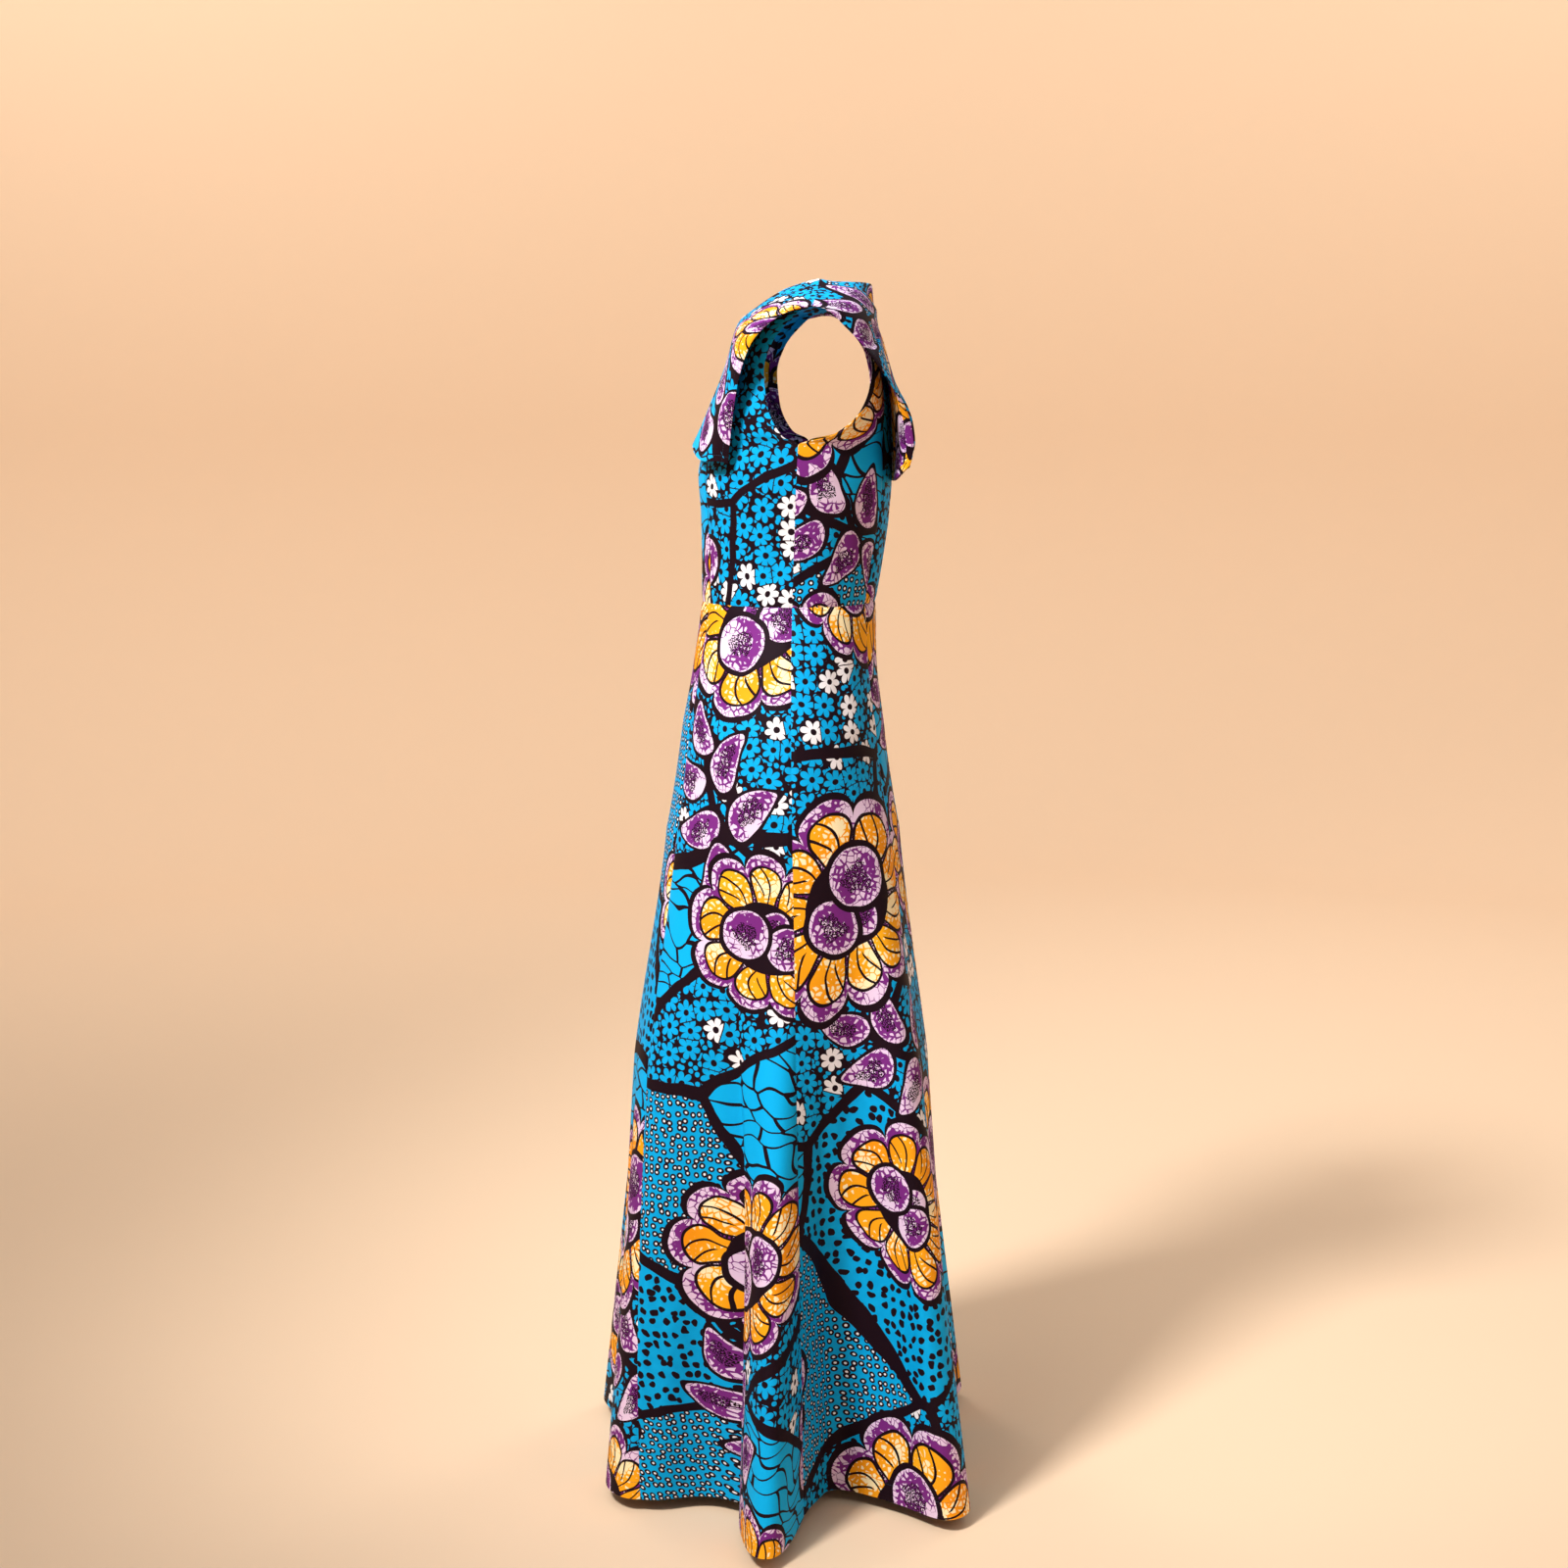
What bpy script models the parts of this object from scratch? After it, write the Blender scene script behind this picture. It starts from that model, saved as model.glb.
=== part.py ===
"""Floor-length sleeveless dress in printed cotton: princess-seamed bodice, cape collar over the
shoulders, and a flared skirt of seven panels joined at the waist.

The dress keeps the form it has when it is worn. Metres, +Z up. The origin is midway between the two
points where the shoulder seams meet the neckline. The front faces -Y and the wearer's left is +X.
"""
import math
from collections import namedtuple

import bpy
import numpy as np

# ---- Driving sizes ---------------------------------------------------------------------------
COLLECTION = "ankara_dress"
WALL = 0.0018            # cloth, a little thicker than life
SEAM_GAP = 0.0003        # between neighbouring pieces
SAME_POINT = 1e-7        # points closer than this are one

WAIST_Z = -0.405         # waist seam below the shoulder neck points
HEM_Z = -1.545           # floor-length hem
WAIST_HALF_WIDTH = 0.130
WAIST_SIDE_Y = -0.032    # side seams, front to back
WAIST_FRONT_Y = -0.155
WAIST_BACK_Y = 0.070
PRINCESS_SHARE = 0.30    # princess seams, as a share of each quarter from centre to side

CLOTH_BLUE = (0.02, 0.30, 0.50, 1.0)
CLOTH_ROUGHNESS = 0.62
SHARP_EDGE = 40          # degrees; edges that turn less are shaded smooth

# Bodice and collar levels. Each level is a curve from its inner end (on the centre line, then on
# the neckline) to its outer end (on the side seam, then on the armhole or the collar's free edge).
# round: extra fullness halfway along; dip: how far the middle of the level hangs below its ends;
# level_start: 1 where the level leaves the centre line flat, 0 where it falls from the neckline.
Level = namedtuple("Level", "inner_x inner_y inner_z outer_x outer_y outer_z round dip level_start")

BODICE_FRONT = (
    Level(0.000, WAIST_FRONT_Y, WAIST_Z, WAIST_HALF_WIDTH, WAIST_SIDE_Y, WAIST_Z, 0.000, 0.0, 1),
    Level(0.000, -0.155, -0.345, 0.133, -0.030, -0.345, 0.001, 0.0, 1),
    Level(0.000, -0.156, -0.292, 0.139, -0.028, -0.292, 0.003, 0.0, 1),
    Level(0.000, -0.159, -0.245, 0.146, -0.026, -0.245, 0.004, 0.0, 1),
    Level(0.000, -0.152, -0.208, 0.150, -0.024, -0.203, 0.004, 0.0, 1),
    Level(0.000, -0.145, -0.184, 0.151, -0.045, -0.189, 0.003, 0.0, 1),
    Level(0.000, -0.134, -0.150, 0.149, -0.062, -0.154, 0.002, 0.0, 1),
    Level(0.000, -0.114, -0.096, 0.149, -0.066, -0.112, 0.001, 0.0, 1),
    Level(0.000, -0.104, -0.048, 0.152, -0.056, -0.078, 0.001, 0.0, 0),
    Level(0.045, -0.083, -0.036, 0.155, -0.037, -0.053, 0.001, 0.0, 0),
    Level(0.080, -0.043, -0.012, 0.158, -0.018, -0.037, 0.001, 0.0, 0),
    Level(0.097, 0.000, 0.000, 0.160, 0.000, -0.031, 0.000, 0.0, 0),
)
BODICE_BACK = (
    Level(0.000, WAIST_BACK_Y, WAIST_Z, WAIST_HALF_WIDTH, WAIST_SIDE_Y, WAIST_Z, 0.000, 0.0, 1),
    Level(0.000, 0.080, -0.345, 0.133, -0.030, -0.345, 0.001, 0.0, 1),
    Level(0.000, 0.087, -0.292, 0.139, -0.028, -0.292, 0.003, 0.0, 1),
    Level(0.000, 0.090, -0.245, 0.146, -0.026, -0.245, 0.005, 0.0, 1),
    Level(0.000, 0.089, -0.208, 0.150, -0.024, -0.203, 0.005, 0.0, 1),
    Level(0.000, 0.087, -0.181, 0.151, 0.014, -0.192, 0.004, 0.0, 1),
    Level(0.000, 0.084, -0.150, 0.150, 0.052, -0.162, 0.002, 0.0, 1),
    Level(0.000, 0.076, -0.098, 0.150, 0.065, -0.126, 0.002, 0.0, 1),
    Level(0.000, 0.067, -0.048, 0.153, 0.059, -0.092, 0.002, 0.0, 1),
    Level(0.000, 0.063, 0.000, 0.156, 0.040, -0.063, 0.001, 0.0, 0),
    Level(0.062, 0.048, 0.000, 0.159, 0.019, -0.043, 0.001, 0.0, 0),
    Level(0.097, 0.000, 0.000, 0.160, 0.000, -0.031, 0.000, 0.0, 0),
)
COLLAR_SHOULDER = Level(0.099, 0.000, 0.003, 0.212, -0.005, -0.033, 0.000, 0.0, 0)
COLLAR_FRONT = (
    Level(0.000, -0.166, -0.203, 0.132, -0.112, -0.226, 0.000, 0.012, 1),
    Level(0.000, -0.154, -0.178, 0.140, -0.109, -0.199, 0.000, 0.008, 1),
    Level(0.000, -0.142, -0.150, 0.148, -0.105, -0.170, 0.000, 0.004, 1),
    Level(0.000, -0.128, -0.118, 0.157, -0.100, -0.139, 0.000, 0.002, 1),
    Level(0.000, -0.116, -0.085, 0.169, -0.092, -0.107, 0.001, 0.000, 1),
    Level(0.000, -0.107, -0.049, 0.184, -0.077, -0.075, 0.002, 0.000, 0),
    Level(0.048, -0.085, -0.034, 0.197, -0.055, -0.054, 0.002, 0.000, 0),
    Level(0.083, -0.043, -0.010, 0.207, -0.030, -0.040, 0.001, 0.000, 0),
    COLLAR_SHOULDER,
)
COLLAR_BACK = (
    Level(0.000, 0.0925, -0.250, 0.116, 0.113, -0.230, 0.000, 0.002, 1),
    Level(0.000, 0.0920, -0.215, 0.126, 0.119, -0.203, 0.001, 0.000, 1),
    Level(0.000, 0.0894, -0.175, 0.137, 0.116, -0.178, 0.002, 0.000, 1),
    Level(0.000, 0.0848, -0.135, 0.150, 0.108, -0.155, 0.003, 0.000, 1),
    Level(0.000, 0.0785, -0.095, 0.163, 0.096, -0.134, 0.004, 0.000, 1),
    Level(0.000, 0.0730, -0.064, 0.176, 0.080, -0.112, 0.004, 0.000, 1),
    Level(0.000, 0.0700, -0.041, 0.188, 0.060, -0.085, 0.003, 0.000, 0),
    Level(0.052, 0.0685, -0.031, 0.199, 0.036, -0.060, 0.002, 0.000, 0),
    Level(0.087, 0.0490, -0.008, 0.208, 0.016, -0.041, 0.001, 0.000, 0),
    COLLAR_SHOULDER,
)

# Skirt rings without their folds, from the waist seam down. squareness 2 is an ellipse.
Ring = namedtuple("Ring", "z half_width front_y back_y side_y squareness")
SKIRT_RINGS = (
    Ring(WAIST_Z, WAIST_HALF_WIDTH, WAIST_FRONT_Y, WAIST_BACK_Y, WAIST_SIDE_Y, 2.0),
    Ring(-0.470, 0.150, -0.164, 0.071, -0.034, 2.05),
    Ring(-0.560, 0.173, -0.180, 0.081, -0.036, 2.1),
    Ring(-0.700, 0.189, -0.202, 0.102, -0.038, 2.15),
    Ring(-1.000, 0.206, -0.246, 0.141, -0.041, 2.3),
    Ring(HEM_Z, 0.225, -0.276, 0.181, -0.045, 2.6),
)

# Folds of the skirt, as they stand at the hem. angle: degrees from the centre front, positive to
# the wearer's left; reach: how far the fold stands out from the ring (negative: a trough);
# before and after: its half-widths in degrees, towards the front and towards the back;
# begins: the height where it leaves the ring; growth: how it opens on the way down.
Fold = namedtuple("Fold", "name angle reach before after begins growth")
SKIRT_FOLDS = (
    Fold("left front corner", 44, 0.040, 17, 12, -0.70, 1.0),
    Fold("left side trough", 70, -0.012, 8, 6, -0.85, 1.2),
    Fold("left side flare", 89, 0.162, 8.2, 7.2, -0.80, 1.4),
    Fold("left back trough", 112, -0.052, 9, 10, -0.75, 1.3),
    Fold("left back flare", 132, 0.096, 9.5, 15, -0.62, 1.1),
    Fold("right front corner", -36, 0.074, 14, 16, -0.62, 1.0),
    Fold("right side trough", -66, -0.016, 7, 8, -0.85, 1.2),
    Fold("right side flare", -91, 0.138, 8.6, 9.4, -0.80, 1.4),
    Fold("right back trough", -113, -0.044, 9, 9, -0.75, 1.3),
    Fold("right back flare", -133, 0.092, 15, 10, -0.62, 1.1),
)
FOLD_SHARPNESS = 2.3     # 2 is a bell curve; more is flatter on top and steeper at the sides

# The skirt's seams, in degrees from the centre front. The front and back ones begin at the waist
# where the princess seams end.
SIDE_SEAM_AT_WAIST = 90
FRONT_SEAM_AT_HEM = {"L": 50, "R": 42}
SIDE_SEAM_AT_HEM = {"L": 98, "R": 100}
BACK_SEAM_AT_HEM = {"L": 155, "R": 155}

# Grid cells: up from one level to the next, and across each kind of panel.
CELLS_PER_LEVEL = 2
BODICE_COLUMNS = {"centre": 5, "side": 6}
UNDERARM_LEVEL = 4
COLLAR_COLUMNS = 9
SKIRT_ROWS = 14
SKIRT_PANELS = (("centre_back_R", 8), ("side_back_R", 14), ("side_front_R", 15),
                ("centre_front", 12), ("side_front_L", 15), ("side_back_L", 14),
                ("centre_back_L", 8))


# ---- Curves and surfaces ---------------------------------------------------------------------
def through(rows, place):
    """Smooth curve through a table's rows, which never swings past them; place runs from 0 at
    the first row to 1 at the last."""
    rows = np.array(rows, dtype=float)
    steps = np.diff(rows, axis=0)
    before, after = steps[:-1], steps[1:]
    same_way = before * after > 0
    slopes = np.where(same_way, 2 * before * after / np.where(same_way, before + after, 1.0), 0.0)
    slopes = np.vstack([steps[:1], slopes, steps[-1:]])
    along = np.clip(place, 0.0, 1.0) * len(steps)
    first = np.minimum(along.astype(int), len(steps) - 1)
    t = (along - first)[..., None]
    return (rows[first] * (1 + 2 * t) * (1 - t) ** 2 + slopes[first] * t * (1 - t) ** 2
            + rows[first + 1] * t ** 2 * (3 - 2 * t) + slopes[first + 1] * t ** 2 * (t - 1))


def level_surface(levels):
    """Surface of a quarter of the bodice or collar: across 0 (centre) to 1, up 0 to 1."""
    front = -1.0 if levels[0].inner_y < 0 else 1.0

    def point(across, up):
        level = Level(*np.moveaxis(through(levels, up), -1, 0))
        turn = across * math.pi / 2
        middle = np.sin(2 * turn) ** 2
        fall = level.level_start * (1 - np.cos(turn)) + (1 - level.level_start) * np.sin(turn)
        x = level.inner_x + (level.outer_x - level.inner_x) * np.sin(turn)
        y = level.outer_y + (level.inner_y - level.outer_y) * np.cos(turn)
        z = level.inner_z + (level.outer_z - level.inner_z) * fall
        x = x + level.round * middle * np.sin(turn)
        y = y + level.round * middle * np.cos(turn) * front
        z = z - level.dip * middle
        return np.stack([x, y, z], axis=-1)

    return point


def ring_radius(ring, angle):
    """Distance from the ring's middle to its edge at an angle from the centre front."""
    depth = np.where(np.cos(angle) > 0, ring.side_y - ring.front_y, ring.back_y - ring.side_y)
    n = ring.squareness
    return ((np.abs(np.sin(angle)) / ring.half_width) ** n
            + (np.abs(np.cos(angle)) / depth) ** n) ** (-1.0 / n)


def ring_at(z):
    """The skirt's ring at a height, between the rows of SKIRT_RINGS."""
    heights = np.array([ring.z for ring in SKIRT_RINGS])
    places = np.interp(-z, -heights, np.linspace(0, 1, len(heights)))
    return Ring(*np.moveaxis(through(SKIRT_RINGS, places), -1, 0))


def skirt_at(angle, z):
    """Point of the skirt's outer face at an angle (radians) and a height."""
    ring = ring_at(z)
    radius = ring_radius(ring, angle)
    for fold in SKIRT_FOLDS:
        away = np.degrees(angle) - fold.angle
        width = np.where(away < 0, fold.before, fold.after)
        if fold.angle < 0:
            width = np.where(away < 0, fold.after, fold.before)
        opened = np.clip((fold.begins - z) / (fold.begins - HEM_Z), 0.0, 1.0) ** fold.growth
        radius = radius + fold.reach * opened * np.exp(-np.abs(away / width) ** FOLD_SHARPNESS)
    return np.stack([radius * np.sin(angle), ring.side_y - radius * np.cos(angle), z], axis=-1)


ANGLES = np.linspace(0, math.pi, 4 * 180 + 1)    # every quarter of a degree


def lengths_round(side, z):
    """Share of the cloth used up from the centre front to each of ANGLES, on one side."""
    points = skirt_at(side * ANGLES, np.full_like(ANGLES, z))
    run = np.concatenate([[0.0], np.cumsum(np.linalg.norm(np.diff(points, axis=0), axis=1))])
    return run / run[-1]


SHARES = {(side, z): lengths_round(side, z) for side in (1, -1) for z in (WAIST_Z, HEM_Z)}


def skirt_surface(share, down):
    """Skirt by cloth: share -1..1 from centre back round to centre back, down 0 to 1."""
    z = WAIST_Z + (HEM_Z - WAIST_Z) * down
    angle = np.zeros_like(share)
    for side in (1, -1):
        here = np.abs(share)
        at_waist = np.interp(here, SHARES[side, WAIST_Z], ANGLES)
        at_hem = np.interp(here, SHARES[side, HEM_Z], ANGLES)
        mixed = at_waist + (at_hem - at_waist) * down
        angle = np.where(share * side > 0, side * mixed, angle)
    return skirt_at(angle, z)


# ---- Grids of points -------------------------------------------------------------------------
# A sheet is a grid of points on a piece's outer face, with the direction of its thickness at each.
Sheet = namedtuple("Sheet", "points normals")


def unit(vectors):
    return vectors / np.linalg.norm(vectors, axis=-1, keepdims=True)


def grid_normals(points, side):
    """Directions straight out of a grid, from the squares around each point."""
    square = side * np.cross(points[1:, 1:] - points[:-1, :-1], points[1:, :-1] - points[:-1, 1:])
    normals = np.zeros_like(points)
    normals[:-1, :-1] += square
    normals[1:, :-1] += square
    normals[:-1, 1:] += square
    normals[1:, 1:] += square
    return normals


def quarter_sheets(front_levels, back_levels, columns, side_seam_rows):
    """Front and back quarters on the wearer's left, from the centre line to the side. Pieces
    that meet in a seam share the direction of their thickness there."""
    grids = {}
    for part, levels, side in (("front", front_levels, 1.0), ("back", back_levels, -1.0)):
        ups = np.linspace(0, 1, CELLS_PER_LEVEL * (len(levels) - 1) + 1)
        points = level_surface(levels)(*np.meshgrid(columns, ups))
        normals = grid_normals(points, side)
        on_centre_line = points[:, 0, 0] == 0
        normals[on_centre_line, 0, 0] = 0
        grids[part] = Sheet(points, unit(normals))
    seam_line = grids["front"].points[:side_seam_rows, -1]
    grids["back"].points[:side_seam_rows, -1] = seam_line
    front, back = grids["front"].normals, grids["back"].normals
    shoulder = unit(front[-1] + back[-1])
    front[-1] = back[-1] = shoulder
    side_seam = unit(front[:side_seam_rows, -1] + back[:side_seam_rows, -1])
    front[:side_seam_rows, -1] = back[:side_seam_rows, -1] = side_seam
    return grids["front"], grids["back"]


def cut_out(sheet, first, last, sewn):
    """Columns first to last of a sheet, drawn in by half the seam gap at each sewn edge."""
    points = sheet.points[:, first:last + 1].copy()
    normals = sheet.normals[:, first:last + 1]
    half_gap = SEAM_GAP / 2
    moves = np.zeros_like(points)
    if "start" in sewn:
        moves[:, 0] += unit(points[:, 1] - points[:, 0]) * half_gap
    if "end" in sewn:
        moves[:, -1] += unit(points[:, -2] - points[:, -1]) * half_gap
    if "first row" in sewn:
        moves[0] += unit(points[1] - points[0]) * half_gap
    if "last row" in sewn:
        moves[-1] += unit(points[-2] - points[-1]) * half_gap
    return Sheet(points + moves, normals)


def on_the_right(sheet):
    """The same sheet on the wearer's right."""
    mirror = np.array([-1.0, 1.0, 1.0])
    return Sheet(sheet.points * mirror, sheet.normals * mirror)


# ---- Solids ----------------------------------------------------------------------------------
def cloth_material(name):
    """Printed cotton: a dull sheen and the ground colour of the print."""
    material = bpy.data.materials.new(name)
    material.use_nodes = True
    shader = material.node_tree.nodes["Principled BSDF"]
    shader.inputs["Base Color"].default_value = CLOTH_BLUE
    shader.inputs["Roughness"].default_value = CLOTH_ROUGHNESS
    shader.inputs["Metallic"].default_value = 0.0
    return material


def faces_out(sheet):
    """Whether a sheet's squares, as add_panel lists their corners, face along its normals."""
    face = grid_normals(sheet.points, 1.0)
    return np.sum(face * sheet.normals) > 0


def add_panel(name, sheets, collection):
    """Closed wall of cloth. Each sheet is a grid of outer points with its normals; sheets that
    share points are one piece. The inner face is the outer one moved in, and a rim closes it."""
    places = {}
    outer_points = []
    inner_points = []
    squares = []
    for sheet in sheets:
        outer, normals = sheet if faces_out(sheet) else [grid[:, ::-1] for grid in sheet]
        numbers = np.zeros(outer.shape[:2], dtype=int)
        for spot in np.ndindex(numbers.shape):
            key = tuple(np.round(outer[spot] / SAME_POINT).astype(int))
            if key not in places:
                places[key] = len(outer_points)
                outer_points.append(outer[spot])
                inner_points.append(outer[spot] - normals[spot] * WALL)
            numbers[spot] = places[key]
        corners = (numbers[:-1, :-1], numbers[:-1, 1:], numbers[1:, 1:], numbers[1:, :-1])
        squares += np.stack(corners, axis=-1).reshape(-1, 4).tolist()

    count = len(outer_points)
    faces = squares + [[count + corner for corner in reversed(square)] for square in squares]
    edges = [edge for square in squares for edge in zip(square, square[1:] + square[:1])]
    shared = set(edges)
    for start, end in edges:
        if (end, start) in shared:
            continue
        # The rim's diagonals all run inwards and up, so that two rims at a seam match.
        if outer_points[start][2] < outer_points[end][2]:
            faces.append([end, start, count + end])
            faces.append([start, count + start, count + end])
        else:
            faces.append([end, start, count + start])
            faces.append([end, count + start, count + end])

    mesh = bpy.data.meshes.new(name)
    mesh.from_pydata([point.tolist() for point in outer_points + inner_points], [], faces)
    mesh.shade_smooth()
    mesh.set_sharp_from_angle(angle=math.radians(SHARP_EDGE))
    mesh.materials.append(cloth_material(name))
    panel = bpy.data.objects.new(name, mesh)
    collection.objects.link(panel)
    return panel


def add_bodice(collection):
    """Seven panels: princess seams in front and back, side seams, and a centre back seam."""
    centre, side = BODICE_COLUMNS["centre"], BODICE_COLUMNS["side"]
    columns = np.concatenate([np.linspace(0, PRINCESS_SHARE, centre + 1),
                              np.linspace(PRINCESS_SHARE, 1, side + 1)[1:]])
    side_seam_rows = CELLS_PER_LEVEL * UNDERARM_LEVEL + 1
    front, back = quarter_sheets(BODICE_FRONT, BODICE_BACK, columns, side_seam_rows)
    ends = {"first row", "last row"}
    middle = cut_out(front, 0, centre, ends | {"end"})
    add_panel("bodice_centre_front", [middle, on_the_right(middle)], collection)
    for name, sheet, first, last in (("centre_back", back, 0, centre),
                                     ("side_front", front, centre, centre + side),
                                     ("side_back", back, centre, centre + side)):
        panel = cut_out(sheet, first, last, ends | {"start", "end"})
        add_panel(f"bodice_{name}_L", [panel], collection)
        add_panel(f"bodice_{name}_R", [on_the_right(panel)], collection)


def add_collar(collection):
    """Cape collar: a front on the fold and two backs, sewn into the neckline and at the
    shoulders, and free at its hem and its two outer edges."""
    columns = np.linspace(0, 1, COLLAR_COLUMNS + 1)
    front, back = quarter_sheets(COLLAR_FRONT, COLLAR_BACK, columns, 0)
    half_front = cut_out(front, 0, COLLAR_COLUMNS, {"last row"})
    half_back = cut_out(back, 0, COLLAR_COLUMNS, {"start", "last row"})
    add_panel("collar_front", [half_front, on_the_right(half_front)], collection)
    add_panel("collar_back_L", [half_back], collection)
    add_panel("collar_back_R", [on_the_right(half_back)], collection)


def skirt_seam(side, waist_angle, hem_angle):
    """Share of a skirt seam at the waist and at the hem, from its angles in degrees."""
    at_waist = np.interp(math.radians(waist_angle), ANGLES, SHARES[side, WAIST_Z])
    at_hem = np.interp(math.radians(hem_angle), ANGLES, SHARES[side, HEM_Z])
    return side * at_waist, side * at_hem


def princess_angle(depth):
    """Angle of a princess seam at the waist, where bodice and skirt seams meet."""
    turn = PRINCESS_SHARE * math.pi / 2
    return math.degrees(math.atan2(WAIST_HALF_WIDTH * math.sin(turn), depth * math.cos(turn)))


def add_skirt(collection):
    """Seven flared panels from the waist seam to the hem, round from the centre back."""
    front = princess_angle(WAIST_SIDE_Y - WAIST_FRONT_Y)
    back = 180 - princess_angle(WAIST_BACK_Y - WAIST_SIDE_Y)
    seams = [(-1.0, -1.0), skirt_seam(-1, back, BACK_SEAM_AT_HEM["R"]),
             skirt_seam(-1, SIDE_SEAM_AT_WAIST, SIDE_SEAM_AT_HEM["R"]),
             skirt_seam(-1, front, FRONT_SEAM_AT_HEM["R"]),
             skirt_seam(1, front, FRONT_SEAM_AT_HEM["L"]),
             skirt_seam(1, SIDE_SEAM_AT_WAIST, SIDE_SEAM_AT_HEM["L"]),
             skirt_seam(1, back, BACK_SEAM_AT_HEM["L"]), (1.0, 1.0)]
    downs = np.linspace(0, 1, SKIRT_ROWS + 1)[:, None]
    seam_lines = [at_waist + (at_hem - at_waist) * downs for at_waist, at_hem in seams]
    spans = [first + (last - first) * np.linspace(0, 1, cells + 1)[:-1]
             for first, last, (_, cells) in zip(seam_lines, seam_lines[1:], SKIRT_PANELS)]
    shares = np.hstack(spans + [seam_lines[-1]])
    points = skirt_surface(shares, np.broadcast_to(downs, shares.shape))
    normals = grid_normals(points, -1.0)
    normals[:, 0] = normals[:, -1] = normals[:, 0] + normals[:, -1]
    normals[0, :, 2] = 0
    sheet = Sheet(points, unit(normals))
    start = 0
    for name, cells in SKIRT_PANELS:
        panel = cut_out(sheet, start, start + cells, {"start", "end", "first row"})
        add_panel("skirt_" + name, [panel], collection)
        start += cells


# ---- The dress -------------------------------------------------------------------------------
def main():
    for item in list(bpy.data.objects):
        bpy.data.objects.remove(item, do_unlink=True)
    collection = bpy.data.collections.new(COLLECTION)
    bpy.context.scene.collection.children.link(collection)

    add_bodice(collection)
    add_collar(collection)
    add_skirt(collection)


main()
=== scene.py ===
import math
from collections import namedtuple

import bpy
import numpy as np
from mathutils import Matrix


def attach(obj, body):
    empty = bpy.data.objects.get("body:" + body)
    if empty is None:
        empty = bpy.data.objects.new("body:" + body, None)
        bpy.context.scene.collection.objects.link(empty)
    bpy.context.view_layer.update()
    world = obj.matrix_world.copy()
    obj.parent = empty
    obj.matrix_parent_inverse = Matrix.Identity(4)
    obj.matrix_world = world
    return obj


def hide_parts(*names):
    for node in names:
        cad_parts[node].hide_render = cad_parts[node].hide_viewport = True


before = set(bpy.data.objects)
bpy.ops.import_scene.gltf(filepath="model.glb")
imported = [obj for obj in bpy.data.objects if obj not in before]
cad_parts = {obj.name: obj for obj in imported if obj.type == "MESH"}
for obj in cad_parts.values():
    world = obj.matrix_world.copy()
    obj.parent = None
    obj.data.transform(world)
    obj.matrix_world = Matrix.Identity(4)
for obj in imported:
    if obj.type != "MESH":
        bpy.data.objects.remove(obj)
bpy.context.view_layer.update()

# ==== The printed cotton ======================================================================
# Wax-printed cotton, printed right through, so that both faces show the same. Thick dark stems part
# a turquoise ground into cells of daisies, spots and leaf net. Crackled purple leaves lie over it in
# sprays, and big scalloped blooms over those.

# The pattern is laid out in centimetres of flat cloth; each panel's "cut" UV map gives its places
# there in metres.

AUBERGINE = (0.011, 0.003, 0.007, 1.0)      # the print's colours, as linear light
TURQUOISE = (0.000, 0.330, 0.700, 1.0)
TURQUOISE_WORN = (0.002, 0.420, 0.830, 1.0)
WHITE = (0.86, 0.83, 0.86, 1.0)
PURPLE = (0.180, 0.022, 0.205, 1.0)
LILAC = (0.78, 0.60, 0.80, 1.0)
ORANGE = (0.900, 0.270, 0.006, 1.0)
YELLOW = (0.980, 0.470, 0.012, 1.0)
CREAM = (0.98, 0.83, 0.50, 1.0)

CM_IN_METRE = 100.0
REPEAT = (64.0, 80.0)         # cm: the blooms and sprays come again after this
DROP = 0.5 * REPEAT[1] / REPEAT[0]    # each repeat lies half its length lower than the one beside it
WOBBLE = 0.3                  # cm that the drawn lines wander
FAR_OFF = 99.0                # further than any motif

# A bloom is a ring of petals round a dark eye, in an oval.
Motif = namedtuple("Motif", "x y turn size")
BLOOMS = (
    Motif(15.0, 13.0, 24, 1.04),
    Motif(46.0, 29.0, 112, 1.26),
    Motif(11.0, 52.0, -40, 1.40),
    Motif(48.0, 70.0, 62, 1.10),
)
OVAL = 1.26                   # its length as a share of its width
PETALS = 10
EYE = 3.9                     # cm radii and widths within a bloom of size 1
PETAL_MIDDLE = 5.7
PETAL_REACH = 1.95
SCALLOP = 6.75
SCALLOP_RISE = 1.95
BLOOM_EDGE = 0.62
PETAL_EDGE = 0.13             # as shares of a petal
VEIN = 0.062
# The round purple discs that overlap in a bloom's eye.
Disc = namedtuple("Disc", "x y radius")
DISCS = (Disc(1.9, -0.3, 1.7), Disc(0.35, -2.75, 2.45), Disc(-0.55, 2.35, 2.75))
DISC_EDGE = 0.20

# A spray is a curved stem with leaves on both sides.
SPRAYS = (
    Motif(41.0, 6.5, 28, 1.02),
    Motif(18.0, 32.0, 75, 0.98),
)
# long is from a leaf's middle to its tip; wide is its widest half-width's share of that.
Leaf = namedtuple("Leaf", "x y turn long wide")
LEAVES = (
    Leaf(1.2, 9.6, 88, 3.5, 0.56), Leaf(4.2, 4.4, 38, 3.9, 0.50), Leaf(-3.6, 5.0, 132, 3.7, 0.54),
    Leaf(4.6, -2.6, 18, 3.9, 0.54), Leaf(-4.0, -1.8, 166, 3.9, 0.52), Leaf(-3.1, -7.2, 214, 3.2, 0.56),
)
LEAF_BEND = 0.24
LEAF_EDGE = 0.20              # the dark outline, as a share of the leaf
SPRAY_STEM = 0.62             # cm either side of the line
SPRAY_BEND = 0.035
SPRAY_REACH = 10.5

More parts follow.
